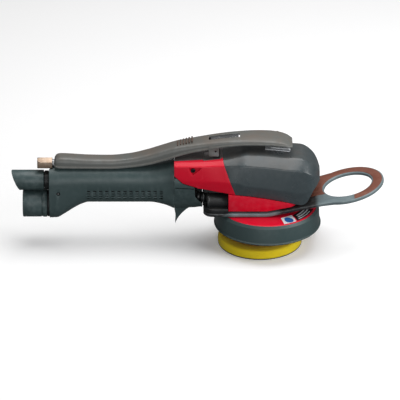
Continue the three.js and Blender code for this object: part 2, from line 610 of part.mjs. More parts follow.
function makeLoopPlate() {
  const ramp = planCut(loopOutline(0, -1), -PLATE_THICKNESS, 0, 20);
  const flat = new THREE.Shape();
  const corner = PLATE_REAR_X + PLATE_CORNER_RADIUS;
  const inner = PLATE_HALF_WIDTH - PLATE_CORNER_RADIUS;
  flat.moveTo(PLATE_BEND_X, -PLATE_HALF_WIDTH);
  flat.lineTo(PLATE_BEND_X, PLATE_HALF_WIDTH);
  flat.absarc(corner, inner, PLATE_CORNER_RADIUS, Math.PI / 2, Math.PI, false);
  flat.absarc(corner, -inner, PLATE_CORNER_RADIUS, Math.PI, 1.5 * Math.PI, false);
  const base = planCut(flat, PLATE_BOTTOM_Z, PLATE_TOP_Z);
  const hole = rod("z", -20, 20, [LOOP_REACH, 0], LOOP_INNER_RADIUS, LOOP_INNER_RADIUS, ROUND);
  const collarHole = rod("z", 0, FAR, [AXIS_X, 0], CUP_RADIUS + GAP, CUP_RADIUS + GAP, ROUND);
  const recess = gripShape(0, 2).translate([0, 0, -GRIP_RECESS]);
  const plate = onRamp(ramp.subtract(hole).subtract(recess)).add(base).subtract(collarHole);
  add("loop_plate", plate, MATERIALS.loop);
  add("loop_grip", onRamp(gripShape(GAP, GRIP_STAND - GAP).translate([0, 0, -GRIP_RECESS + GAP])),
      MATERIALS.grip);
}

// The brown pad covers the loop's far arm and front and stops part of the way along the near arm.
function gripShape(shrink, stand) {
  const outline = loopOutline(GRIP_INSET + shrink, LOOP_REACH - GRIP_REAR_REACH + shrink);
  const grown = planCut(outline, 0, GRIP_RECESS + stand, 20);
  const holeRadius = LOOP_INNER_RADIUS + GRIP_INSET + shrink;
  const hole = rod("z", -5, 5, [LOOP_REACH, 0], holeRadius, holeRadius, ROUND);
  const bare = block([-FAR, -FAR, -5], [LOOP_REACH + GRIP_NEAR_END + shrink, GRIP_NEAR_EDGE + shrink, 5]);
  return grown.subtract(hole).subtract(bare);
}

// ---------------------------------------------------------------- body and head cover
function headRings(inset) {
  const ring = (x, s, widthFactor = 1, drop = 0, rise = 0, cutBack = 0) => {
    const [wt, zt, ws, zs, wl, zl, wb, flatBottom] = s;
    const low = Math.max(flatBottom, plateTopAt(x) + COVER_CLEAR_Z);
    const side = zl + rise;
    const zb = low + (side - low) * cutBack;
    const scale = (w) => Math.max(0.5, w * widthFactor - inset);
    const top = zt - inset - drop;
    const shoulder = zs - inset - drop * 0.8;
    const right = [[scale(wb), zb], [scale(wl), side], [scale(ws), shoulder], [scale(wt), top]];
    const left = right.map(([y, z]) => [-y, z]).reverse();
    return { x, points: [...right, ...left] };
  };
  const rings = HEAD_STATIONS.map(([x, ...s]) => ring(x, s));
  const [lastX, ...last] = HEAD_STATIONS[HEAD_STATIONS.length - 1];
  for (const [forward, ...shaping] of NOSE_STEPS) {
    rings.push(ring(lastX + forward - inset, last, ...shaping));
  }
  return rings;
}

// Height of the loop plate's upper face.
function plateTopAt(x) {
  return PLATE_TOP_Z + Math.max(0, x - PLATE_BEND_X) * Math.tan(PLATE_PITCH);
}

// Everything ahead of the slanted joint, moved forward by an offset.
function aheadOfSplit(offset) {
  const [tx, tz] = SPLIT_TOP;
  const [bx, bz] = SPLIT_BOTTOM;
  const slope = (bx - tx) / (bz - tz);
  const at = (z) => tx + (z - tz) * slope + offset;
  return sideCut([[at(0), 0], [FAR, 0], [FAR, 400], [at(400), 400]], FAR);
}

const RED_LOWER_EDGE = [[-500, 122], [BODY_REAR_X, 122], [-114, 110.5], [-93, 104.5], [-70, 60], [FAR, 60],
    [FAR, 400], [-500, 400]];

const NICHE_FLOOR_Y = 27.6;
const BODY_SCREW_X = -99;
const BODY_SCREW_Z = 131;
const SCREW_NICHE = [[-106, 136.5], [-100, 124], [-86, 136.5]];
// thick wall behind the niche
const SCREW_BOSS = [[-109.5, 120.5], [-82, 120.5], [-82, 140], [-109.5, 140]];

function makeBody() {
  const outer = loft(headRings(0));
  const inner = loft(headRings(BODY_WALL));
  const below = block([-FAR, -FAR, 0], [FAR, FAR, 105]); // opens the underside
  const hollow = inner.add(inner.intersect(below).translate([0, 0, -12]));
  const shell = outer.subtract(hollow);
  const shaftRoom = block([-FAR, -BRIDGE_HALF_WIDTH - GAP, 128], [-40, BRIDGE_HALF_WIDTH + GAP, FAR]);
  const well = block([WELL_REAR_X - GAP, -WELL_HALF_WIDTH - GAP, WELL_FLOOR_Z - 2.5],
      [WELL_FRONT_X + GAP, WELL_HALF_WIDTH + GAP, FAR]);
  const red = shell.intersect(sideCut(RED_LOWER_EDGE, FAR)).subtract(aheadOfSplit(-GAP))
      .subtract(shaftRoom).subtract(well);
  const rearWall = block([BODY_REAR_X + 8, -FAR, 122], [BODY_REAR_X + 10.6, FAR, 128]);
  const redWhole = red.add(outer.intersect(rearWall).subtract(shaftRoom));
  const niche = sideCut(SCREW_NICHE, FAR);
  const boss = sideCut(SCREW_BOSS, FAR).intersect(outer).intersect(sideCut(RED_LOWER_EDGE, FAR));
  for (const [name, side] of SIDES) {
    const beyond = (y) => block([-FAR, side < 0 ? -FAR : y, 0], [FAR, side < 0 ? -y : FAR, FAR]);
    const bore = rod("y", -FAR, FAR, [BODY_SCREW_X, BODY_SCREW_Z], SCREW_SHANK_RADIUS + GAP);
    const shellHalf = half(redWhole, side).add(boss.intersect(beyond(NICHE_FLOOR_Y - BODY_WALL)));
    add(`body_shell_${name}`, shellHalf.subtract(niche.intersect(beyond(NICHE_FLOOR_Y)))
        .subtract(bore), MATERIALS.red);
    const across = (from, to, radius) => {
      const ends = side < 0 ? [-to, -from] : [from, to];
      return rod("y", ...ends, [BODY_SCREW_X, BODY_SCREW_Z], radius);
    };
    const head = across(NICHE_FLOOR_Y + GAP, NICHE_FLOOR_Y + 2.4, SCREW_SHANK_RADIUS + 1.5);
    add(`body_screw_${name}`, head.add(across(8, NICHE_FLOOR_Y + 1, SCREW_SHANK_RADIUS)), MATERIALS.steel);
  }
  const lid = loft(headRings(0))
      .intersect(block([BODY_REAR_X + 0.2, -BRIDGE_HALF_WIDTH, 136], [-40, BRIDGE_HALF_WIDTH, FAR]))
    .subtract(inner).subtract(aheadOfSplit(-GAP));
  const wellOuter = block([WELL_REAR_X, -WELL_HALF_WIDTH, WELL_FLOOR_Z - 2],
      [WELL_FRONT_X, WELL_HALF_WIDTH, 150]).intersect(outer);
  const wellInner = block([WELL_REAR_X + 2, -WELL_HALF_WIDTH + 2, WELL_FLOOR_Z],
      [WELL_FRONT_X - 2, WELL_HALF_WIDTH - 2, FAR]);
  add("top_bridge", lid.add(wellOuter).subtract(wellInner).subtract(aheadOfSplit(-GAP)), MATERIALS.slate);
  const ductRoom = rod("x", -200, 60, [DUCT_Y, DUCT_Z], DUCT_RADIUS + 1.4, DUCT_RADIUS + 1.4, 24);
  const cover = shell.intersect(aheadOfSplit(0)).subtract(ductRoom)
    .subtract(block([-FAR, -WELL_HALF_WIDTH - GAP, WELL_FLOOR_Z - 2.5],
        [WELL_FRONT_X + GAP, WELL_HALF_WIDTH + GAP, FAR]));
  add("head_cover", cover, MATERIALS.cover);
}

// ---------------------------------------------------------------- finger guard under the body
// Each station is [x, half width and z of the upper edge, half width and z of the waist, lowest z].
const GUARD_STATIONS = [
  [BODY_REAR_X, 29, 118, 28, 100, GUARD_BOTTOM_Z],
  [GUARD_LIP_X, 32.8, 114.5, 31.6, 102.7, GUARD_BOTTOM_Z + 1.5],
  [GUARD_FRONT_X, 33.4, 104, 33, 90, GUARD_BOTTOM_Z + 4],
];
const GUARD_UPPER_EDGE = [
  [-FAR, 122 - GAP],
  [BODY_REAR_X, 122 - 3 * GAP],
  [-114, 110.5 - 3 * GAP],
  [GUARD_LIP_X, 105.5 - 3 * GAP],
  [GUARD_LIP_X + 1, 87],
  [GUARD_FRONT_X + 1, 75],
  [GUARD_FRONT_X + 1, 0],
  [-FAR, 0],
];

function guardRing([x, wu, zu, ww, zw, low], inset) {
  const points = [[-wu + inset, zu + inset], [wu - inset, zu + inset], [ww - inset, zw]];
  const arc = 10;
  for (let i = 1; i < arc; i += 1) {
    const a = (Math.PI * i) / arc;
    points.push([(ww - inset) * Math.cos(a), zw - (zw - low - inset) * Math.sin(a)]);
  }
  points.push([-ww + inset, zw]);
  return { x, points };
}

// The handle's section where the guard's spigot ends inside it.
function mouthRing(inset) {
  const [a, b] = handleStations(inset).slice(-2);
  const t = (HANDLE_FRONT_X - SPIGOT_LENGTH - a.x) / (b.x - a.x);
  return a.points.map((p, i) => p.map((v, k) => v + (b.points[i][k] - v) * t));
}

function makeGuard() {
  const outer = loft(GUARD_STATIONS.map((s) => guardRing(s, 0)));
  const inside = GUARD_STATIONS.map((s) => guardRing(s, BODY_WALL));
  inside[0].x = BODY_REAR_X + GUARD_WEB;
  inside[inside.length - 1].x += 1;
  const inner = loft(inside);
  const mouth = mouthRing(HANDLE_WALL + GAP);
  const bore = mouthRing(HANDLE_WALL + GAP + 1.8);
  const tail = HANDLE_FRONT_X - SPIGOT_LENGTH;
  const spigot = loft([{ x: tail, points: mouth }, { x: BODY_REAR_X + 1, points: mouth }]);
  const spigotBore = loft([{ x: tail - 1, points: bore }, { x: BODY_REAR_X + 9, points: bore }]);
  const tipX = BODY_REAR_X + 2;
  const shape = new THREE.Shape();
  shape.moveTo(BODY_REAR_X, GUARD_BOTTOM_Z + 6);
  shape.lineTo(BODY_REAR_X, GUARD_BOTTOM_Z);
  shape.quadraticCurveTo(BODY_REAR_X + 2.6, FIN_TIP_Z + 12, tipX - 1, FIN_TIP_Z);
  shape.quadraticCurveTo(tipX + 3, FIN_TIP_Z + 13, tipX + 16, GUARD_BOTTOM_Z + 0.5);
  shape.lineTo(tipX + 24, GUARD_BOTTOM_Z + 6);
  const finGeometry = new THREE.ExtrudeGeometry(shape,
      { depth: 2 * FIN_HALF_WIDTH, bevelEnabled: false, curveSegments: 6 });
  const fin = solid(finGeometry.rotateX(Math.PI / 2).translate(0, FIN_HALF_WIDTH, 0)).subtract(inner);
  const elbowRoom = sweep(ELBOW_PATH, ELBOW_RADIUS + 2 * RUN_GAP, 16, 14);
  const skin = outer.subtract(inner).intersect(sideCut(GUARD_UPPER_EDGE, FAR)).add(fin);
  const upright = spigot.intersect(block([-FAR, -FAR, 0], [FAR, FAR, 120]));
  add("finger_guard", skin.add(upright).subtract(spigotBore).subtract(elbowRoom), MATERIALS.slate);
}

// ---------------------------------------------------------------- handle
function handleStations(inset) {
  const low = HANDLE_BOTTOM_Z - REAR_FLARE_DROP;
  const rear = HANDLE_REAR_X;
  const w = HANDLE_HALF_WIDTH;
  return [
    [rear, w + REAR_WIDEN, low, HANDLE_TOP_Z],
    [rear + 11, w + REAR_WIDEN, low + 0.6, HANDLE_TOP_Z],
    [rear + REAR_FLARE_LENGTH * 0.35, w + 1, low + REAR_FLARE_DROP * 0.22, HANDLE_TOP_Z],
    [rear + REAR_FLARE_LENGTH * 0.6, w + 0.5, low + REAR_FLARE_DROP * 0.6, HANDLE_TOP_Z],
    [rear + REAR_FLARE_LENGTH * 0.83, w, low + REAR_FLARE_DROP * 0.89, HANDLE_TOP_Z],
    [rear + REAR_FLARE_LENGTH, w, HANDLE_BOTTOM_Z, HANDLE_TOP_Z],
    [HANDLE_FRONT_X - FRONT_FLARE_LENGTH, w, HANDLE_BOTTOM_Z, HANDLE_TOP_Z],
    [HANDLE_FRONT_X - FRONT_FLARE_LENGTH * 0.4, w + FRONT_FLARE_WIDEN * 0.4,
        HANDLE_BOTTOM_Z - FRONT_FLARE_DROP * 0.4, HANDLE_TOP_Z + FRONT_RISE * 0.45],
    [HANDLE_FRONT_X, w + FRONT_FLARE_WIDEN, HANDLE_BOTTOM_Z - FRONT_FLARE_DROP,
        HANDLE_TOP_Z + FRONT_RISE],
  ].map(([x, hw, b, t]) => ({ x, points: stadiumRing(hw - inset, b + inset, t - inset) }));
}

const BLOCK_REAR_X = LEVER_PIVOT_X - 8;
const BLOCK_FRONT_X = LEVER_PIVOT_X + PLUNGER_REACH + 9;
const BLOCK_HALF_WIDTH = 8;
const BLOCK_BOTTOM_Z = HANDLE_TOP_Z - 20;
const HANDLE_SCREW_X = HANDLE_REAR_X + 13.5;
const HANDLE_SCREW_Z = HANDLE_TOP_Z - 36.5;

function makeHandle() {
  const outer = loft(handleStations(0));
  const stations = handleStations(HANDLE_WALL);
  stations[0].x = HANDLE_REAR_X + REAR_CAP_THICKNESS + GAP;
  const last = stations[stations.length - 1];
  const inner = loft([...stations, { x: last.x + 1, points: last.points }]);
  let shell = outer.subtract(inner);
  for (let i = 0; i < VENT_COLUMNS; i += 1) {
    const x = VENT_FRONT_X - i * VENT_PITCH;
    shell = shell.subtract(block([x - VENT_WIDTH / 2, -FAR, VENT_CENTRE_Z - VENT_HEIGHT / 2],
        [x + VENT_WIDTH / 2, FAR, VENT_CENTRE_Z + VENT_HEIGHT / 2]));
  }
  const rearOpening = loft(handleStations(HANDLE_WALL).slice(0, 2)
      .map((s, i) => ({ x: i ? s.x : s.x - 1, points: s.points })));
  shell = shell.subtract(rearOpening);
  const blockSlot = block([BLOCK_REAR_X - GAP, -BLOCK_HALF_WIDTH - GAP, BLOCK_BOTTOM_Z - GAP],
      [BLOCK_FRONT_X + GAP, BLOCK_HALF_WIDTH + GAP, FAR]);
  shell = shell.subtract(blockSlot).subtract(inletRoom());
  const screwBore = rod("y", -FAR, FAR, [HANDLE_SCREW_X, HANDLE_SCREW_Z], SCREW_SHANK_RADIUS + GAP);
  for (const [name, side] of SIDES) {
    add(`handle_shell_${name}`, half(shell, side).subtract(screwBore), MATERIALS.slate);
  }
  const reach = HANDLE_HALF_WIDTH + REAR_WIDEN - 0.8;
  add("handle_screw", rod("y", -reach, reach, [HANDLE_SCREW_X, HANDLE_SCREW_Z], SCREW_SHANK_RADIUS),
      MATERIALS.steel);
}

// ---------------------------------------------------------------- rear cap and ports
// Room for the air inlet, open upwards.
function inletRoom() {
  const hexRoom = INLET_HEX_RADIUS + GAP;
  const bodyRoom = INLET_BODY_RADIUS + GAP;
  const wide = block([-FAR, -hexRoom, INLET_AXIS_Z - hexRoom], [INLET_HEX_FRONT_X + GAP, hexRoom, FAR]);
  return wide.add(block([-FAR, -bodyRoom, INLET_AXIS_Z - bodyRoom], [BLOCK_REAR_X, bodyRoom, FAR]));
}

function makeRear() {
  const rings = handleStations(HANDLE_WALL + GAP).slice(0, 2);
  rings[0].x = HANDLE_REAR_X + 0.6;
  rings[1] = { x: HANDLE_REAR_X + REAR_CAP_THICKNESS, points: rings[0].points };
  const exhaustHole = rod("x", -FAR, FAR, [0, EXHAUST_AXIS_Z], EXHAUST_RADIUS - 3 + GAP,
      EXHAUST_RADIUS - 3 + GAP, 28);
  const stubRadius = DUST_PORT_RADIUS - 5;
  const dustHole = rod("x", -FAR, FAR, [0, DUST_AXIS_Z], stubRadius + GAP, stubRadius + GAP, 28);
  add("rear_cap", loft(rings).subtract(exhaustHole).subtract(dustHole)
      .subtract(inletRoom()), MATERIALS.slate);

  const ringFront = HANDLE_REAR_X - GAP;
  const ringRear = ringFront - COLLAR_RING_LENGTH;
  const spigotRadius = EXHAUST_RADIUS - 3;
  const spigot = rod("x", ringRear, HANDLE_REAR_X + REAR_CAP_THICKNESS + 3, [0, EXHAUST_AXIS_Z],
      spigotRadius, spigotRadius, 28);
  const ring = rod("x", ringRear, ringFront, [0, EXHAUST_AXIS_Z], EXHAUST_RADIUS - 0.8,
      EXHAUST_RADIUS - 0.8, 28);
  const spigotBore = rod("x", -FAR, FAR, [0, EXHAUST_AXIS_Z], spigotRadius - 2, spigotRadius - 2, 28);
  add("exhaust_collar", ring.add(spigot).subtract(spigotBore), MATERIALS.black);

  const tubeFront = ringRear - RUN_GAP;
  const tubeRear = tubeFront - EXHAUST_LENGTH;
  const lowZ = EXHAUST_AXIS_Z - EXHAUST_RADIUS;
  const highZ = EXHAUST_AXIS_Z + EXHAUST_RADIUS;
  const oblique = sideCut([[tubeRear, highZ], [tubeRear + EXHAUST_CUT, lowZ],
      [tubeRear + EXHAUST_CUT, lowZ - 20], [-FAR, lowZ - 20], [-FAR, highZ + 20], [tubeRear, highZ + 20]],
      FAR);
  const deflector = tube("x", tubeRear - 5, tubeFront, [0, EXHAUST_AXIS_Z], EXHAUST_RADIUS, EXHAUST_WALL,
      28);
  add("exhaust_deflector", deflector.subtract(oblique), MATERIALS.slate);

  const sleeveFront = HANDLE_REAR_X - RUN_GAP - 3;
  const sleeveRear = sleeveFront - DUST_PORT_LENGTH;
  add("dust_sleeve", tube("x", sleeveRear, sleeveFront, [0, DUST_AXIS_Z], DUST_PORT_RADIUS, DUST_PORT_WALL,
      32), MATERIALS.black);
  const stub = tube("x", sleeveFront + RUN_GAP, STUB_FRONT_X, [0, DUST_AXIS_Z], stubRadius, 2, 28);
  const flange = tube("x", sleeveFront + RUN_GAP, HANDLE_REAR_X - GAP, [0, DUST_AXIS_Z],
      DUST_PORT_RADIUS - 0.6, 6, 28);
  add("dust_stub", stub.add(flange), MATERIALS.slate);

  const hexRear = INLET_HEX_FRONT_X - INLET_LENGTH;
  const hexFront = INLET_HEX_FRONT_X;
  const hex = rod("x", hexRear, hexFront, [0, INLET_AXIS_Z], INLET_HEX_RADIUS, INLET_HEX_RADIUS, 6);
  const bore = rod("x", hexRear - 1, hexFront + 1, [0, INLET_AXIS_Z], INLET_BORE_RADIUS);
  const nose = rod("x", hexRear - 1, hexFront, [0, INLET_AXIS_Z], INLET_HEX_RADIUS - 1.2,
      INLET_HEX_RADIUS + 4, 24);
  add("inlet_fitting", hex.intersect(nose).subtract(bore), MATERIALS.brass);
  const body = rod("x", hexFront + GAP, BLOCK_REAR_X - GAP, [0, INLET_AXIS_Z], INLET_BODY_RADIUS);
  add("inlet_body", body.subtract(rod("x", -FAR, FAR, [0, INLET_AXIS_Z], INLET_BORE_RADIUS - 1.6)),
      MATERIALS.alloy);
}

// ---------------------------------------------------------------- throttle valve
const PLUNGER_X = LEVER_PIVOT_X + PLUNGER_REACH;

function makeValve() {
  const base = block([BLOCK_REAR_X, -BLOCK_HALF_WIDTH, BLOCK_BOTTOM_Z],
      [BLOCK_FRONT_X, BLOCK_HALF_WIDTH, HANDLE_TOP_Z]);
  const lug = block([LEVER_PIVOT_X - 6, -BLOCK_HALF_WIDTH, HANDLE_TOP_Z - 1],
      [LEVER_PIVOT_X + 6, BLOCK_HALF_WIDTH, LEVER_PIVOT_Z + 3.6]);
  const pinBore = rod("y", -FAR, FAR, [LEVER_PIVOT_X, LEVER_PIVOT_Z], LEVER_PIN_RADIUS + GAP);
  const plungerBore = rod("z", BLOCK_BOTTOM_Z - 1, FAR, [PLUNGER_X, 0], PLUNGER_RADIUS + RUN_GAP);
  const springPocket = rod("z", BLOCK_BOTTOM_Z - 1, BLOCK_BOTTOM_Z + 12, [PLUNGER_X, 0],
      PLUNGER_RADIUS + 3);
  const airway = rod("x", BLOCK_REAR_X - 1, PLUNGER_X, [0, INLET_AXIS_Z - 8], 3);
  add("valve_block", base.add(lug).subtract(pinBore).subtract(plungerBore).subtract(springPocket)
      .subtract(airway), MATERIALS.alloy);
  add("lever_pin", rod("y", -13.2, 13.2, [LEVER_PIVOT_X, LEVER_PIVOT_Z], LEVER_PIN_RADIUS),
      MATERIALS.steel);
  const plungerTop = leverAt(PLUNGER_X).top - LEVER_WALL - 2 * GAP;
  const stem = rod("z", BLOCK_BOTTOM_Z + 14, plungerTop, [PLUNGER_X, 0], PLUNGER_RADIUS);
  add("valve_plunger", stem, MATERIALS.brass);
  const plug = rod("z", BLOCK_BOTTOM_Z - 4, BLOCK_BOTTOM_Z - GAP, [PLUNGER_X, 0], PLUNGER_RADIUS + 4.5);
  add("valve_plug", plug, MATERIALS.brass);
  const turns = 4;
  const coil = [];
  for (let i = 0; i <= turns * 8; i += 1) {
    const a = (2 * Math.PI * i) / 8;
    const z = BLOCK_BOTTOM_Z + 1.6 + (9 * i) / (turns * 8);
    coil.push([PLUNGER_X + (PLUNGER_RADIUS + 1.2) * Math.cos(a), (PLUNGER_RADIUS + 1.2) * Math.sin(a), z]);
  }
  add("valve_spring", sweep(coil, 0.6, 64, 6), MATERIALS.steel);
  const airPipe = tube("x", BLOCK_FRONT_X + GAP, BODY_REAR_X + 76, [0, HANDLE_TOP_Z - 12], 5, 1.2);
  add("air_pipe", airPipe, MATERIALS.alloy);
  const exhaustPipe = tube("x", HANDLE_REAR_X + 24, BODY_REAR_X + 76, [0, PIPE_Z + PIPE_RADIUS + 6], 4.6,
      1.2);
  add("exhaust_pipe", exhaustPipe, MATERIALS.black);
}

// ---------------------------------------------------------------- lever
// Each station is [x, half width, lower edge z, top z].
const LEVER_STATIONS = [
  [LEVER_REAR_X, 12, HANDLE_TOP_Z + 2.5, HANDLE_TOP_Z + 10.5],
  [LEVER_REAR_X + 3, 13.5, HANDLE_TOP_Z + 1.5, HANDLE_TOP_Z + 14.6],
  [LEVER_REAR_X + 9, 14, HANDLE_TOP_Z + 0.8, HANDLE_TOP_Z + 16],
  [HANDLE_REAR_X + 60, 14, HANDLE_TOP_Z + 0.2, HANDLE_TOP_Z + 13.6],
  [HANDLE_FRONT_X - 95, 14, HANDLE_TOP_Z, HANDLE_TOP_Z + 13.2],
  [HANDLE_FRONT_X - 66, 14.2, HANDLE_TOP_Z + 2.2, HANDLE_TOP_Z + 16],
  [HANDLE_FRONT_X - 38, 15, HANDLE_TOP_Z + 7, HANDLE_TOP_Z + 22.6],
  [HANDLE_FRONT_X - 16, 15.6, HANDLE_TOP_Z + 13.6, HANDLE_TOP_Z + 29.8],
  [HANDLE_FRONT_X + 5, 16.4, HANDLE_TOP_Z + 21.4, HANDLE_TOP_Z + 36],
  [-98, 17.2, 154.6, 166.4],
  [-77, 18, 159, 170],
  [-58, 19, 163.2, 172.6],
  [-37, 20, 166.2, 174.6],
  [-8, 21.5, 168, 175.8],
  [12, 22, 168, 175.2],
  [28, 21.5, 166.4, 173.2],
  [39, 19.5, 164.2, 170],
  [LEVER_FRONT_X, 15, 161.6, 165.6],
];

function leverAt(x) {
  const i = Math.max(1, LEVER_STATIONS.findIndex((s) => s[0] >= x));
  const [a, b] = [LEVER_STATIONS[i - 1], LEVER_STATIONS[i]];
  const t = (x - a[0]) / (b[0] - a[0]);
  const mix = (k) => a[k] + (b[k] - a[k]) * t;
  return { halfWidth: mix(1), low: mix(2), top: mix(3) };
}

function leverRing([x, w, low, top], inset) {
  const cut = Math.min(3.2, (top - low) * 0.45);
  const wall = inset ? LEVER_WALL : 0;
  const lower = inset ? low - 6 : low;
  const right = [[w - wall, lower], [w - wall, top - cut - wall],
      [w - cut * 0.4 - wall, top - cut * 0.35 - wall], [w - cut - wall, top - wall]];
  return { x, points: [...right, ...right.map(([y, z]) => [-y, z]).reverse()] };
}

function makeLever() {
  const outer = loft(LEVER_STATIONS.map((s) => leverRing(s, false)));
  const nose = leverAt(LEVER_FRONT_X - 2);
  const noseStation = [LEVER_FRONT_X - 2, nose.halfWidth, nose.low, nose.top];
  const inner = loft([...LEVER_STATIONS.slice(1, -1), noseStation].map((s) => leverRing(s, true)));
  const rearMouth = block([-FAR, -INLET_BODY_RADIUS - 1.4, 0],
      [LEVER_REAR_X + 20, INLET_BODY_RADIUS + 1.4, INLET_AXIS_Z + INLET_BODY_RADIUS + 0.8]);
  const pinBore = rod("y", -FAR, FAR, [LEVER_PIVOT_X, LEVER_PIVOT_Z], LEVER_PIN_RADIUS + GAP / 2);
  const slot = block([SLOT_REAR_X, -SLOT_WIDTH / 2, leverAt(SLOT_REAR_X).low + 1],
      [SLOT_FRONT_X, SLOT_WIDTH / 2, FAR]);
  const ribTop = leverAt(STOP_X).top - 1;
  const ribLow = clipFloor(STOP_X) + CLIP_HEIGHT + LEVER_TRAVEL * (STOP_X - LEVER_PIVOT_X) + GAP;
  const rib = block([STOP_X - 1.5, -leverAt(STOP_X).halfWidth + 1, ribLow],
      [STOP_X + 1.5, leverAt(STOP_X).halfWidth - 1, ribTop]);
  const here = leverAt(LATCH_X);
  const lugLow = here.low - LUG_DROP;
  const lugs = SIDES.map(([, side]) => {
    const outerY = side * (here.halfWidth - 0.4);
    const innerY = side * (here.halfWidth - 0.4 - LEVER_WALL);
    return block([LATCH_X - LUG_LENGTH + 5, Math.min(outerY, innerY), lugLow],
        [LATCH_X + 5, Math.max(outerY, innerY), here.low + 2]);
  });
  const latchBore = rod("y", -FAR, FAR, [LATCH_X, LATCH_Z], LATCH_PIN_RADIUS + GAP / 2);
  const shell = outer.subtract(inner).subtract(rearMouth).subtract(slot);
  const body = shell.add(lugs[0]).add(lugs[1]).add(rib.intersect(outer));
  add("throttle_lever", body.subtract(pinBore).subtract(latchBore), MATERIALS.lever);
  const pinHalf = here.halfWidth - 0.2;
  add("latch_pin", rod("y", -pinHalf, pinHalf, [LATCH_X, LATCH_Z], LATCH_PIN_RADIUS), MATERIALS.steel);
  const steps = [-7, 0, 8, 16, 24, LATCH_REACH];
  const upper = steps.map((dx) => [LATCH_X + dx, leverAt(LATCH_X + dx).top - 0.3]);
  const under = upper.slice(2).map(([x, z]) => [x, z - 3.4]).reverse();
  const latch = sideCut([...upper, ...under, [LATCH_X + 5, LATCH_Z], [LATCH_X + 3.5, LATCH_Z - 4.5],
      [LATCH_X - 4, LATCH_Z - 4.5]], LATCH_WIDTH / 2);
  const pinHole = rod("y", -FAR, FAR, [LATCH_X, LATCH_Z], LATCH_PIN_RADIUS + RUN_GAP / 2);
  add("lock_latch", latch.subtract(pinHole), MATERIALS.steel);
}

const LATCH_Z = leverAt(LATCH_X).low - 4.5;

// ---------------------------------------------------------------- stop clip on the head
// Height of the clip's underside, which follows the cover's flat top.
function clipFloor(x) {
  const i = HEAD_STATIONS.findIndex((s) => s[0] >= x);
  const [a, b] = [HEAD_STATIONS[i - 1], HEAD_STATIONS[i]];
  return a[2] + ((b[2] - a[2]) * (x - a[0])) / (b[0] - a[0]) + GAP;
}

function makeStopClip() {
  const at = (x, up) => [x, clipFloor(x) + up];
  const rear = STOP_X - 18;
  const front = STOP_X + 17;
  const outline = [
    at(rear, 0),
    at(front, 0),
    at(front + 2, 1.5),
    at(front + 2, CLIP_HEIGHT - 1.5),
    at(front, CLIP_HEIGHT),
    at(rear + 8, CLIP_HEIGHT),
    at(rear + 8, CLIP_HEIGHT - CLIP_THICKNESS),
    at(front - 0.4, CLIP_HEIGHT - CLIP_THICKNESS),
    at(front + 0.7, CLIP_HEIGHT - 2),
    at(front + 0.7, 2),
    at(front - 0.4, CLIP_THICKNESS),
    at(rear, CLIP_THICKNESS),
  ];
  add("stop_clip", sideCut(outline, CLIP_HALF_WIDTH), MATERIALS.steel);
}

// ---------------------------------------------------------------- dust duct
function makeDuct() {
  const bore = rod("x", DUCT_REAR_X - 1, FAR, [DUCT_Y, DUCT_Z], DUCT_RADIUS - DUCT_WALL,
      DUCT_RADIUS - DUCT_WALL, 24);
  const barrel = rod("x", DUCT_REAR_X, DUCT_FRONT_X, [DUCT_Y, DUCT_Z], DUCT_RADIUS, DUCT_RADIUS, 24);
  const base = new THREE.Shape();
  const edge = PLATE_HALF_WIDTH - DUCT_BASE_INSET;
  const corner = PLATE_CORNER_RADIUS - DUCT_BASE_INSET;
  const rear = PLATE_REAR_X + DUCT_BASE_INSET + corner;
  base.moveTo(NECK_REAR_X - GAP, -edge);
  base.lineTo(NECK_REAR_X - GAP, edge);
  base.absarc(rear, edge - corner, corner, Math.PI / 2, Math.PI, false);
  base.absarc(rear, corner - edge, corner, Math.PI, 1.5 * Math.PI, false);
  const foot = planCut(base, PLATE_TOP_Z + GAP, PLATE_TOP_Z + GAP + DUCT_BASE_HEIGHT);
  const seatRadius = ELBOW_RADIUS + 2 * RUN_GAP;
  const elbowSeat = rod("x", -FAR, DUCT_REAR_X, [ELBOW_Y, DUCT_Z + ELBOW_RISE], seatRadius, seatRadius, 24);
  add("dust_duct", barrel.add(foot.subtract(elbowSeat)).subtract(bore), MATERIALS.black);
  const mouth = [ELBOW_Y, DUCT_Z + ELBOW_RISE];
  const boot = tube("x", DUCT_REAR_X - BOOT_OFFSET - BOOT_THICKNESS, DUCT_REAR_X - BOOT_OFFSET, mouth,
      BOOT_RADIUS, BOOT_RADIUS - ELBOW_RADIUS + ELBOW_WALL / 2);
  add("dust_elbow", pipeAlong(ELBOW_PATH, ELBOW_RADIUS, ELBOW_WALL, 16).add(boot), MATERIALS.black);
  const pipePath = [
    [ELBOW_END_X - GAP, 0, PIPE_Z],
    [HANDLE_REAR_X + 100, 0, PIPE_Z],
    [HANDLE_REAR_X + REAR_FLARE_LENGTH, 0, PIPE_Z],
    [HANDLE_REAR_X + REAR_FLARE_LENGTH * 0.65, 0, PIPE_Z - 4.5],
    [HANDLE_REAR_X + REAR_FLARE_LENGTH * 0.4, 0, DUST_AXIS_Z + 3],
    [STUB_FRONT_X + 1, 0, DUST_AXIS_Z],
  ];
  add("dust_pipe", pipeAlong(pipePath, PIPE_RADIUS, PIPE_WALL, 28), MATERIALS.black);
}

makePad();
makeCrank();
makeSpindle();
makeMotor();
makeNeck();
makeHood();
makeLoopPlate();
makeBody();
makeGuard();
makeHandle();
makeRear();
makeValve();
makeLever();
makeStopClip();
makeDuct();

export default group;
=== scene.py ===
"""Looks of the air-driven orbital sander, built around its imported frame.

Sizes inside the classes are millimetres in the part's own frame: the origin is the centre of the sanding
face, +X points to the front loop and +Z is up. Every finished mesh is stored in metres.
"""

from __future__ import annotations

import json
import logging
import math
from dataclasses import dataclass, field
from enum import Enum
from typing import Iterable, Sequence

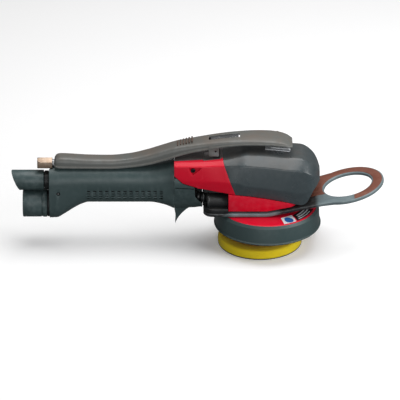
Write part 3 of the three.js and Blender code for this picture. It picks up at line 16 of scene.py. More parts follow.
import bmesh
import bpy
import numpy as np
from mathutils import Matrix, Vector

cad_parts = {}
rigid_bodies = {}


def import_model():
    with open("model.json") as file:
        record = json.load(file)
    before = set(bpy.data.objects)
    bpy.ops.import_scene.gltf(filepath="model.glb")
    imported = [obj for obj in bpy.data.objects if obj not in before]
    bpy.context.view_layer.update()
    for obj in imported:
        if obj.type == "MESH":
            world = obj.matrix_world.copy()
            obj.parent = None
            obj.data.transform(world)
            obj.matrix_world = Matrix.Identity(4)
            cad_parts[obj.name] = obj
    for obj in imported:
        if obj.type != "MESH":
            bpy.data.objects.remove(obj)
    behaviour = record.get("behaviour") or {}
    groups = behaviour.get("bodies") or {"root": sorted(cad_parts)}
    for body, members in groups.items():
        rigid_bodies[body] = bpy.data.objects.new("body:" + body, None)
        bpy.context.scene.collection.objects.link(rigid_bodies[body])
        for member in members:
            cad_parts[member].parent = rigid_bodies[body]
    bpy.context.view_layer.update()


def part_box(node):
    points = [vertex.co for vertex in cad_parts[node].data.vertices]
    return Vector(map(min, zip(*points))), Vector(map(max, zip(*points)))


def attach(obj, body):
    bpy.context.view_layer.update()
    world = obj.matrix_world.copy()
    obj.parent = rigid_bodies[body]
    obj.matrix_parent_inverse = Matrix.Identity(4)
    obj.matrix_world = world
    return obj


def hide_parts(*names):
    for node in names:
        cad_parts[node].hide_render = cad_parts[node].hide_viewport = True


LOG = logging.getLogger("sander")
MM = 0.001
FAR = 500.0

Flat = tuple[float, float]
Space = tuple[float, float, float]
Shape = bpy.types.Object
Wire = bpy.types.NodeSocket


class Body(Enum):
    """Bodies of the frame that carry visible pieces."""

    HOUSING = "housing"
    LEVER = "lever"
    LATCH = "latch"
    DEFLECTOR = "deflector"
    SLEEVE = "sleeve"
    PAD = "pad"


class Axis(Enum):
    """Axis about which a profile is turned, as the column of its length coordinate."""

    X = 0
    Y = 1
    Z = 2


# Mesh tools
@dataclass(frozen=True)
class Extent:
    """Lowest and highest corner of a node at rest, in millimetres."""

    low: Vector
    high: Vector

    @classmethod
    def of(cls, node: str) -> Extent:
        """Reads a node's box from the frame."""
        low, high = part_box(node)
        return cls(low / MM, high / MM)

    @property
    def middle(self) -> Vector:
        """Centre of the box."""
        return (self.low + self.high) / 2


def mesh_object(name: str, points: Iterable[Sequence[float]], faces: Iterable[Sequence[int]]) -> Shape:
    """Makes an object from points in millimetres.

    Args:
        name: Name of the object.
        points: Corner points, in millimetres.
        faces: Corner indices of each face.

    Returns:
        The linked object, with merged corners and outward normals.
    """
    mesh = bpy.data.meshes.new(name)
    mesh.from_pydata([tuple(c * MM for c in p) for p in points], [], [tuple(f) for f in faces])
    work = bmesh.new()
    work.from_mesh(mesh)
    bmesh.ops.remove_doubles(work, verts=work.verts, dist=2e-6)
    bmesh.ops.recalc_face_normals(work, faces=work.faces)
    work.to_mesh(mesh)
    work.free()
    made = bpy.data.objects.new(name, mesh)
    bpy.context.scene.collection.objects.link(made)
    return made


def evaluated_mesh(obj: Shape) -> bpy.types.Mesh:
    """Returns a new plain mesh with the modifiers applied.

    Args:
        obj: Object whose modifiers count.

    Returns:
        The new mesh.
    """
    graph = bpy.context.evaluated_depsgraph_get()
    graph.update()
    return bpy.data.meshes.new_from_object(obj.evaluated_get(graph), depsgraph=graph)


def settle(obj: Shape) -> Shape:
    """Applies every modifier of an object.

    Args:
        obj: Object to change.

    Returns:
        The same object.
    """
    mesh = evaluated_mesh(obj)
    obj.modifiers.clear()
    old = obj.data
    obj.data = mesh
    bpy.data.meshes.remove(old)
    return obj


def drop(obj: Shape) -> None:
    """Removes a helper object and its mesh.

    Args:
        obj: Object to remove.
    """
    mesh = obj.data
    bpy.data.objects.remove(obj)
    bpy.data.meshes.remove(mesh)


def carve(obj: Shape, tools: Iterable[Shape], operation: str = "DIFFERENCE") -> Shape:
    """Cuts an object with other closed ones, which are used up.

    Args:
        obj: Object to change.
        tools: Closed tool objects.
        operation: DIFFERENCE, UNION or INTERSECT.

    Returns:
        The changed object.
    """
    for tool in tools:
        cut = obj.modifiers.new("cut", "BOOLEAN")
        cut.operation = operation
        cut.solver = "EXACT"
        cut.object = tool
        settle(obj)
        drop(tool)
    return obj


def finish_edges(obj: Shape, width: float = 0.0, segments: int = 2, angle: float = 32.0) -> Shape:
    """Rounds the sharp edges of an object a little and sets its smooth shading.

    Args:
        obj: Object to change.
        width: Width of the rounding in millimetres, or 0 for none.
        segments: Faces across each rounded edge.
        angle: Edges sharper than this many degrees are rounded or stay sharp.

    Returns:
        The changed object.
    """
    work = bmesh.new()
    work.from_mesh(obj.data)
    bmesh.ops.remove_doubles(work, verts=work.verts, dist=4e-6)
    bmesh.ops.dissolve_degenerate(work, edges=work.edges, dist=4e-6)
    work.to_mesh(obj.data)
    work.free()
    if width:
        bevel = obj.modifiers.new("round", "BEVEL")
        bevel.width = width * MM
        bevel.segments = segments
        bevel.limit_method = "ANGLE"
        bevel.angle_limit = math.radians(angle)
        bevel.use_clamp_overlap = True
        bevel.miter_outer = "MITER_ARC"
        settle(obj)
    obj.data.shade_smooth()
    obj.data.set_sharp_from_angle(angle=math.radians(angle + 4))
    return obj


def box_tool(low: Space, high: Space) -> Shape:
    """Makes a closed box for cutting.

    Args:
        low: Lowest corner.
        high: Highest corner.

    Returns:
        The box.
    """
    corners = [(x, y, z) for x in (low[0], high[0]) for y in (low[1], high[1]) for z in (low[2], high[2])]
    faces = [(0, 1, 3, 2), (4, 6, 7, 5), (0, 4, 5, 1), (2, 3, 7, 6), (0, 2, 6, 4), (1, 5, 7, 3)]
    return mesh_object("tool", corners, faces)


def side_tool(outline: Sequence[Flat], near: float = -FAR, far: float = FAR) -> Shape:
    """Makes a closed solid from a side outline.

    Args:
        outline: Points as (x, z).
        near: Lowest y.
        far: Highest y.

    Returns:
        The solid.
    """
    count = len(outline)
    points = [(x, near, z) for x, z in outline] + [(x, far, z) for x, z in outline]
    faces = [tuple(range(count)), tuple(range(2 * count - 1, count - 1, -1))]
    faces += [(i, (i + 1) % count, (i + 1) % count + count, i + count) for i in range(count)]
    return mesh_object("tool", points, faces)


def loft(name: str, rings: Sequence[Sequence[Space]]) -> Shape:
    """Joins rings into a closed solid with flat ends.

    Args:
        name: Name of the object.
        rings: Rings of equally many points.

    Returns:
        The solid.
    """
    count = len(rings[0])
    points = [p for ring in rings for p in ring]
    faces: list[tuple[int, ...]] = [tuple(range(count))]
    for r in range(len(rings) - 1):
        base = r * count
        faces += [(base + i, base + (i + 1) % count, base + count + (i + 1) % count, base + count + i)
                  for i in range(count)]
    faces.append(tuple(range((len(rings) - 1) * count, len(rings) * count)))
    return mesh_object(name, points, faces)


def lathe(name: str, profile: Sequence[Flat], centre: Space, axis: Axis = Axis.Z, steps: int = 96) -> Shape:
    """Turns a closed (radius, length) profile about an axis.

    Args:
        name: Name of the object.
        profile: Outline points as (radius, place along the axis).
        centre: A point on the axis; the profile's lengths count from it.
        axis: Axis of the turning.
        steps: Sides of the round.

    Returns:
        The turned object.
    """
    points: list[Space] = []
    for k in range(steps):
        a = 2 * math.pi * k / steps
        for r, along in profile:
            across = (r * math.cos(a), r * math.sin(a))
            spot = {Axis.Z: (across[0], across[1], along), Axis.X: (along, across[0], across[1]),
                    Axis.Y: (across[0], along, across[1])}[axis]
            points.append(tuple(c + s for c, s in zip(centre, spot)))
    count = len(profile)
    faces = []
    for k in range(steps):
        here, there = k * count, (k + 1) % steps * count
        for i in range(count):
            j = (i + 1) % count
            if profile[i][0] < 1e-9 and profile[j][0] < 1e-9:
                continue
            faces.append((here + i, here + j, there + j, there + i))
    return mesh_object(name, points, faces)


def rounded(outline: Sequence[Flat], radii: Sequence[float] | float, steps: int = 4) -> list[Flat]:
    """Rounds the corners of a closed outline.

    Args:
        outline: Corner points.
        radii: Reach of the rounding along each edge, for each corner or for all.
        steps: Segments in each corner.

    Returns:
        The rounded outline, with steps + 1 points in place of each corner.
    """
    reach = [radii] * len(outline) if isinstance(radii, (int, float)) else list(radii)
    made: list[Flat] = []
    for i, corner in enumerate(outline):
        p = Vector(corner)
        back = Vector(outline[i - 1]) - p
        on = Vector(outline[(i + 1) % len(outline)]) - p
        d = min(reach[i], back.length * 0.47, on.length * 0.47)
        u, v = back.normalized() * d, on.normalized() * d
        for k in range(steps + 1):
            t = k / steps
            q = p + u * (1 - t) ** 2 + v * t * t
            made.append((q.x, q.y))
    return made


def eased(rows: Sequence[Sequence[float]], parts: int) -> np.ndarray:
    """Runs a smooth curve without overshoot through rows of numbers.

    Args:
        rows: Key rows, the first number of each being its place along X.
        parts: Steps between two key rows.

    Returns:
        The denser rows.
    """
    values = np.array(rows, float)
    reach = np.abs(np.diff(values[:, :1], axis=0)) + 0.35 * np.abs(np.diff(values, axis=0)).max(1,
                                                                                                keepdims=True)
    knots = np.concatenate([[0.0], np.cumsum(reach[:, 0])])
    span = np.diff(knots)[:, None]
    slope = np.diff(values, axis=0) / span
    tangent = np.zeros_like(values)
    before, after = slope[:-1], slope[1:]
    w_before, w_after = 2 * span[1:] + span[:-1], span[1:] + 2 * span[:-1]
    turning = before * after <= 0
    safe_before, safe_after = np.where(turning, 1.0, before), np.where(turning, 1.0, after)
    mean = (w_before + w_after) / (w_before / safe_before + w_after / safe_after)
    tangent[1:-1] = np.where(turning, 0.0, mean)
    tangent[0], tangent[-1] = slope[0], slope[-1]
    made = [values[0]]
    for i in range(len(values) - 1):
        for k in range(1, parts + 1):
            t = k / parts
            h00, h10 = 2 * t**3 - 3 * t**2 + 1, t**3 - 2 * t**2 + t
            h01, h11 = -2 * t**3 + 3 * t**2, t**3 - t**2
            made.append(h00 * values[i] + h10 * span[i] * tangent[i] + h01 * values[i + 1]
                        + h11 * span[i] * tangent[i + 1])
    return np.array(made)


def plate(name: str, outlines: Sequence[Sequence[Flat]], low: float, high: float, edge: float) -> Shape:
    """Makes a flat plate with rounded edges from an outline and its holes.

    Args:
        name: Name of the object.
        outlines: Outer outline first, then holes, as (x, y) points.
        low: Height of the lower face.
        high: Height of the upper face.
        edge: Radius of the edges.

    Returns:
        The plate.
    """
    curve = bpy.data.curves.new(name, "CURVE")
    curve.dimensions = "2D"
    curve.fill_mode = "BOTH"
    for outline in outlines:
        line = curve.splines.new("POLY")
        line.points.add(len(outline) - 1)
        for point, (x, y) in zip(line.points, outline):
            point.co = (x * MM, y * MM, 0, 1)
        line.use_cyclic_u = True
    curve.bevel_depth = edge * MM
    curve.bevel_resolution = 2
    curve.offset = -edge * MM
    curve.extrude = ((high - low) / 2 - edge) * MM
    flat = bpy.data.objects.new(name, curve)
    bpy.context.scene.collection.objects.link(flat)
    mesh = evaluated_mesh(flat)
    bpy.data.objects.remove(flat)
    bpy.data.curves.remove(curve)
    lift = (low + high) / 2
    points = [(v.co.x / MM, v.co.y / MM, v.co.z / MM + lift) for v in mesh.vertices]
    faces = [tuple(p.vertices) for p in mesh.polygons]
    bpy.data.meshes.remove(mesh)
    return mesh_object(name, points, faces)


def arc(centre: Flat, radius: float, start: float, end: float, steps: int = 24) -> list[Flat]:
    """Points on an arc.

    Args:
        centre: Centre of the arc.
        radius: Its radius.
        start: First angle, in degrees.
        end: Last angle, in degrees.
        steps: Number of steps.

    Returns:
        The points, both ends included.
    """
    return [(centre[0] + radius * math.cos(math.radians(start + (end - start) * k / steps)),
             centre[1] + radius * math.sin(math.radians(start + (end - start) * k / steps)))
            for k in range(steps + 1)]


def softened(node: str, width: float, segments: int = 2, angle: float = 32.0) -> Shape:
    """Copies a frame node into a new piece with rounded edges.

    Args:
        node: Name of the node.
        width: Width of the rounding.
        segments: Steps of the rounding.
        angle: Least angle of a rounded edge, in degrees.

    Returns:
        The new piece.
    """
    source = bpy.data.objects[node]
    mesh = source.data.copy()
    mesh.materials.clear()
    for name in [a.name for a in mesh.attributes if a.name.startswith("_")]:
        mesh.attributes.remove(mesh.attributes[name])
    work = bmesh.new()
    work.from_mesh(mesh)
    bmesh.ops.remove_doubles(work, verts=work.verts, dist=5e-6)
    bmesh.ops.dissolve_limit(work, angle_limit=math.radians(0.8), verts=work.verts, edges=work.edges)
    work.to_mesh(mesh)
    work.free()
    if hasattr(mesh, "free_custom_normals"):
        mesh.free_custom_normals()
    made = bpy.data.objects.new(f"{node}_shape", mesh)
    bpy.context.scene.collection.objects.link(made)
    return finish_edges(made, width, segments, angle)


# Node trees
class Tree:
    """A node tree under construction, with short calls for its nodes and links."""

    def __init__(self, tree: bpy.types.NodeTree) -> None:
        """Starts on a tree that exists."""
        self.tree = tree

    def node(self, kind: str, sockets: dict[str | int, object] | None = None,
             **settings: object) -> bpy.types.Node:
        """Adds a node.

        Args:
            kind: Type name of the node.
            sockets: Value or source socket for each input, by name or index.
            settings: Properties of the node.

        Returns:
            The node.
        """
        made = self.tree.nodes.new(kind)
        for key, value in settings.items():
            setattr(made, key, value)
        for key, value in (sockets or {}).items():
            if isinstance(value, Wire):
                self.tree.links.new(value, made.inputs[key])
            else:
                made.inputs[key].default_value = value
        return made

    def link(self, source: Wire, target: Wire) -> None:
        """Joins two sockets."""
        self.tree.links.new(source, target)

    def ended(self, geometry: Wire, material: bpy.types.Material, end: bpy.types.Node) -> Tree:
        """Dresses the geometry and sends it out.

        Args:
            geometry: Geometry that the tree has made.
            material: Its material.
            end: Output node of the tree.

        Returns:
            The tree.
        """
        dressed = self.node("GeometryNodeSetMaterial", {"Geometry": geometry, "Material": material})
        self.link(dressed.outputs[0], end.inputs[0])
        return self

    def math(self, operation: str, *values: object) -> Wire:
        """Adds a math node and returns its result."""
        kind = "ShaderNodeMath"
        return self.node(kind, dict(enumerate(values)), operation=operation).outputs[0]

    def ramp(self, value: object, low: float, high: float, to_low: float = 0.0, to_high: float = 1.0) -> Wire:
        """Maps a value from one range to another, held at both ends."""
        sockets = {"Value": value, "From Min": low, "From Max": high, "To Min": to_low, "To Max": to_high}
        return self.node("ShaderNodeMapRange", sockets, clamp=True).outputs[0]

    def mix(self, share: object, first: object, second: object) -> Wire:
        """Mixes two colours."""
        return self.node("ShaderNodeMix", {0: share, 6: first, 7: second}, data_type="RGBA").outputs[2]


@dataclass(frozen=True)
class Socket:
    """One socket of a shader or geometry group."""

    name: str
    kind: str
    default: object = None


def group(name: str, kind: str, inputs: Sequence[Socket],
          outputs: Sequence[Socket]) -> tuple[Tree, bpy.types.Node, bpy.types.Node]:
    """Makes a node group with named sockets.

    Args:
        name: Name of the group.
        kind: Kind of tree.
        inputs: Sockets that go in.
        outputs: Sockets that come out.

    Returns:
        The tree, its input node and its output node.
    """
    tree = bpy.data.node_groups.new(name, kind)
    for direction, sockets in (("INPUT", inputs), ("OUTPUT", outputs)):
        for s in sockets:
            made = tree.interface.new_socket(name=s.name, in_out=direction, socket_type=s.kind)
            if s.default is not None:
                made.default_value = s.default
    work = Tree(tree)
    return work, work.node("NodeGroupInput"), work.node("NodeGroupOutput")


FLOAT = "NodeSocketFloat"
VECTOR = "NodeSocketVector"
GEOMETRY = "NodeSocketGeometry"
SHADER_GROUP = "ShaderNodeTree"
GEOMETRY_GROUP = "GeometryNodeTree"


class Effects:
    """Shader groups that several finishes share."""

    def __init__(self) -> None:
        """Builds every group once."""
        self.grain = self._grain()
        self.wear = self._wear()
        self.dust = self._dust_and_reflection()
        self.strokes = self._strokes()
        self.cells = self._cells()

    def _grain(self) -> bpy.types.NodeTree:
        """Fine moulded grain: a height and a slow unevenness of gloss.

        Returns:
            The group.
        """
        work, start, end = group("Moulded grain", SHADER_GROUP,
                                 [Socket("Vector", VECTOR), Socket("Scale", FLOAT, 900.0),
                                  Socket("Mottle", FLOAT, 30.0)],
                                 [Socket("Height", FLOAT), Socket("Mottling", FLOAT)])
        fine = work.node("ShaderNodeTexNoise",
                         {"Vector": start.outputs[0], "Scale": start.outputs[1], "Detail": 3.0})
        slow = work.node("ShaderNodeTexNoise",
                         {"Vector": start.outputs[0], "Scale": start.outputs[2], "Detail": 4.0})
        work.link(fine.outputs["Fac"], end.inputs[0])
        work.link(work.ramp(slow.outputs["Fac"], 0.3, 0.7), end.inputs[1])
        return work.tree

    def _wear(self) -> bpy.types.NodeTree:
        """Rubbed edges: a mask where the surface turns outwards, broken up by noise.

        Returns:
            The group.
        """
        work, start, end = group("Rubbed edges", SHADER_GROUP,
                                 [Socket("Vector", VECTOR), Socket("Reach", FLOAT, 0.56),
                                  Socket("Breakup", FLOAT, 140.0)], [Socket("Mask", FLOAT)])
        shape = work.node("ShaderNodeNewGeometry")
        noise = work.node("ShaderNodeTexNoise",
                          {"Vector": start.outputs[0], "Scale": start.outputs[2], "Detail": 5.0})
        edge = work.ramp(shape.outputs["Pointiness"], 0.5, start.outputs[1])
        spots = work.ramp(noise.outputs["Fac"], 0.42, 0.66)
        work.link(work.math("MULTIPLY", edge, spots), end.inputs[0])
        return work.tree

    def _dust_and_reflection(self) -> bpy.types.NodeTree:
        """Mask on faces that look up, in soft patches: settled dust, and on the cover a painted reflection.

        Returns:
            The group.
        """
        work, start, end = group("Settled dust", SHADER_GROUP,
                                 [Socket("Vector", VECTOR), Socket("Patch", FLOAT, 22.0),
                                  Socket("Amount", FLOAT, 0.3)], [Socket("Mask", FLOAT)])
        shape = work.node("ShaderNodeNewGeometry")
        up = work.node("ShaderNodeSeparateXYZ", {0: shape.outputs["Normal"]}).outputs[2]
        noise = work.node("ShaderNodeTexNoise", {"Vector": start.outputs[0], "Scale": start.outputs[1],
                                                 "Detail": 6.0, "Roughness": 0.65})
        facing = work.ramp(up, 0.1, 1.0)
        patch = work.ramp(noise.outputs["Fac"], 0.35, 0.8)
        both = work.math("MULTIPLY", facing, patch)
        work.link(work.math("MULTIPLY", both, start.outputs[2]), end.inputs[0])
        return work.tree

    def _strokes(self) -> bpy.types.NodeTree:
        """Fine machining strokes across one axis: a height and a tone.

        Returns:
            The group.
        """
        work, start, end = group("Machined strokes", SHADER_GROUP,
                                 [Socket("Vector", VECTOR), Socket("Stretch", VECTOR, (40.0, 1.0, 1.0)),
                                  Socket("Scale", FLOAT, 60.0)],
                                 [Socket("Height", FLOAT), Socket("Tone", FLOAT)])
        long = work.node("ShaderNodeVectorMath", {0: start.outputs[0], 1: start.outputs[1]},
                         operation="MULTIPLY")
        noise = work.node("ShaderNodeTexNoise",
                          {"Vector": long.outputs[0], "Scale": start.outputs[2], "Detail": 4.0})
        work.link(noise.outputs["Fac"], end.inputs[0])
        work.link(work.ramp(noise.outputs["Fac"], 0.25, 0.75), end.inputs[1])
        return work.tree

    def _cells(self) -> bpy.types.NodeTree:
        """Open foam cells: a height with pits, and a mask of the pits for their painted shade.

        Returns:
            The group.
        """
        work, start, end = group("Foam cells", SHADER_GROUP,
                                 [Socket("Vector", VECTOR), Socket("Scale", FLOAT, 700.0)],
                                 [Socket("Height", FLOAT), Socket("Pits", FLOAT)])
        cells = work.node("ShaderNodeTexVoronoi", {"Vector": start.outputs[0], "Scale": start.outputs[1]})
        coarse = work.node("ShaderNodeTexNoise", {"Vector": start.outputs[0], "Scale": 160.0, "Detail": 5.0})
        pits = work.ramp(cells.outputs["Distance"], 0.05, 0.42, 1.0, 0.0)
        some = work.math("MULTIPLY", pits, work.ramp(coarse.outputs["Fac"], 0.45, 0.62))
        work.link(work.math("SUBTRACT", coarse.outputs["Fac"], some), end.inputs[0])
        work.link(some, end.inputs[1])
        return work.tree


Colour = tuple[float, float, float]


def linear(red: float, green: float, blue: float) -> Colour:
    """Turns display values into scene values.

    Args:
        red: Red, 0 to 255.
        green: Green, 0 to 255.
        blue: Blue, 0 to 255.

    Returns:
        The colour in scene values.
    """
    def one(v: float) -> float:
        """Turns one value."""
        v /= 255
        return v / 12.92 if v <= 0.04045 else ((v + 0.055) / 1.055) ** 2.4
    return one(red), one(green), one(blue)


@dataclass(frozen=True)
class Finish:
    """A finish: colours, gloss and how much of each shared effect it shows."""

    name: str
    base: Colour
    mottled: Colour
    worn: Colour
    rough: float
    rough_spread: float = 0.08
    metal: float = 0.0
    grain_scale: float = 900.0
    grain_depth: float = 0.00004
    mottle_scale: float = 30.0
    mottle_share: float = 0.5
    wear: float = 0.5
    # Share of the mask on faces that look up: settled dust, and on the cover a painted reflection.
    dust: float = 0.25
    dust_and_reflection_colour: Colour = (0.42, 0.38, 0.33)
    specular: float = 0.5
    coat: float = 0.0
    coat_rough: float = 0.12
    sheen: float = 0.0

    def build(self, effects: Effects) -> bpy.types.Material:
        """Makes the material.

        Args:
            effects: The shared shader groups.

        Returns:
            The finished material.
        """
        material = bpy.data.materials.new(self.name)
        material.use_nodes = True
        material.diffuse_color = (*self.base, 1)
        work = Tree(material.node_tree)
        shader = next(n for n in material.node_tree.nodes if n.type == "BSDF_PRINCIPLED")
        place = work.node("ShaderNodeTexCoord").outputs["Object"]
        grain = work.node("ShaderNodeGroup", node_tree=effects.grain)
        wear = work.node("ShaderNodeGroup", node_tree=effects.wear)
        dust = work.node("ShaderNodeGroup", node_tree=effects.dust)
        for made in (grain, wear, dust):
            work.link(place, made.inputs["Vector"])
        grain.inputs["Scale"].default_value = self.grain_scale
        grain.inputs["Mottle"].default_value = self.mottle_scale
        dust.inputs["Amount"].default_value = self.dust
        mottling = work.math("MULTIPLY", grain.outputs["Mottling"], self.mottle_share)
        colour = work.mix(mottling, (*self.base, 1), (*self.mottled, 1))
        rubbed = work.math("MULTIPLY", wear.outputs["Mask"], self.wear)
        colour = self.pattern(work, place, colour)
        colour = work.mix(rubbed, colour, (*self.worn, 1))
        # Faces that look up take the dust colour: settled dust, and on the cover a painted reflection.
        colour = work.mix(dust.outputs["Mask"], colour, (*self.dust_and_reflection_colour, 1))
        work.link(colour, shader.inputs["Base Color"])
        gloss = work.ramp(grain.outputs["Mottling"], 0, 1, self.rough - self.rough_spread,
                          self.rough + self.rough_spread)
        gloss = work.math("ADD", gloss, work.math("MULTIPLY", dust.outputs["Mask"], 0.3))
        work.link(gloss, shader.inputs["Roughness"])
        bump = work.node("ShaderNodeBump", {"Height": self.height(work, place, grain.outputs["Height"]),
                                            "Strength": 1.0, "Distance": self.grain_depth})
        work.link(bump.outputs[0], shader.inputs["Normal"])
        shader.inputs["Metallic"].default_value = self.metal
        shader.inputs["Specular IOR Level"].default_value = self.specular
        shader.inputs["Coat Weight"].default_value = self.coat
        shader.inputs["Coat Roughness"].default_value = self.coat_rough
        shader.inputs["Sheen Weight"].default_value = self.sheen
        return material

    def pattern(self, work: Tree, place: Wire, colour: Wire) -> Wire:
        """Adds this finish's own pattern to its colour. The plain finish adds none."""
        return colour

    def height(self, work: Tree, place: Wire, grain: Wire) -> Wire:
        """Returns the height that the bump reads."""
        return grain


@dataclass(frozen=True)
class FoamFinish(Finish):
    """Open-cell foam with shade painted into its small pits."""

    effects: Effects | None = None
    # Colour of the shade painted into the pits.
    pit_shade_colour: Colour = (0.55, 0.38, 0.015)

    def pattern(self, work: Tree, place: Wire, colour: Wire) -> Wire:
        """Paints shade into the pits.

        Args:
            work: Tree of the material.
            place: Object coordinates.
            colour: Colour so far.

        Returns:
            The new colour.
        """
        cells = work.node("ShaderNodeGroup", {"Vector": place}, node_tree=self.effects.cells)
        share = work.math("MULTIPLY", cells.outputs["Pits"], 0.55)
        return work.mix(share, colour, (*self.pit_shade_colour, 1))

    def height(self, work: Tree, place: Wire, grain: Wire) -> Wire:
        """Uses the cells in place of the grain."""
        return work.node("ShaderNodeGroup", {"Vector": place}, node_tree=self.effects.cells).outputs["Height"]


@dataclass(frozen=True)
class PlateWithPaintedShadow(Finish):
    """Plate whose colour carries painted shadow behind the neck and under the cover's nose, and its plain
    colour out on the loop.
    """

    # Colour of the painted shadow.
    dark: Colour = (0.012, 0.013, 0.015)
    rear_edge: float = -0.047
    shadow_start: float = 0.026
    shadow_end: float = 0.086
    blend: float = 0.006

    def pattern(self, work: Tree, place: Wire, colour: Wire) -> Wire:
        """Paints shadow onto the plate behind the neck and under the cover's nose.

        Args:
            work: Tree of the material.
            place: Object coordinates.
            colour: Colour so far.

        Returns:
            The new colour.
        """
        x = work.node("ShaderNodeSeparateXYZ", {0: place}).outputs[0]
        rear = work.ramp(x, self.rear_edge - self.blend, self.rear_edge + self.blend, 1.0, 0.0)
        starts = work.ramp(x, self.shadow_start - self.blend, self.shadow_start + self.blend)
        ends = work.ramp(x, self.shadow_end - self.blend, self.shadow_end, 1.0, 0.0)
        share = work.math("MAXIMUM", rear, work.math("MULTIPLY", starts, ends))
        return work.mix(share, colour, (*self.dark, 1))


@dataclass(frozen=True)
class MachinedFinish(Finish):
    """Metal with fine strokes from machining."""

    effects: Effects | None = None
    stretch: Space = (30.0, 1.0, 1.0)
    dark: Colour = (0.2, 0.2, 0.2)

    def pattern(self, work: Tree, place: Wire, colour: Wire) -> Wire:
        """Shades the strokes.

        Args:
            work: Tree of the material.
            place: Object coordinates.
            colour: Colour so far.

        Returns:
            The new colour.
        """
        strokes = work.node("ShaderNodeGroup", {"Vector": place, "Stretch": self.stretch},
                            node_tree=self.effects.strokes)
        share = work.math("MULTIPLY", strokes.outputs["Tone"], 0.35)
        return work.mix(share, colour, (*self.dark, 1))

    def height(self, work: Tree, place: Wire, grain: Wire) -> Wire:
        """Uses the strokes in place of the grain."""
        strokes = work.node("ShaderNodeGroup", {"Vector": place, "Stretch": self.stretch},
                            node_tree=self.effects.strokes)
        return strokes.outputs["Height"]


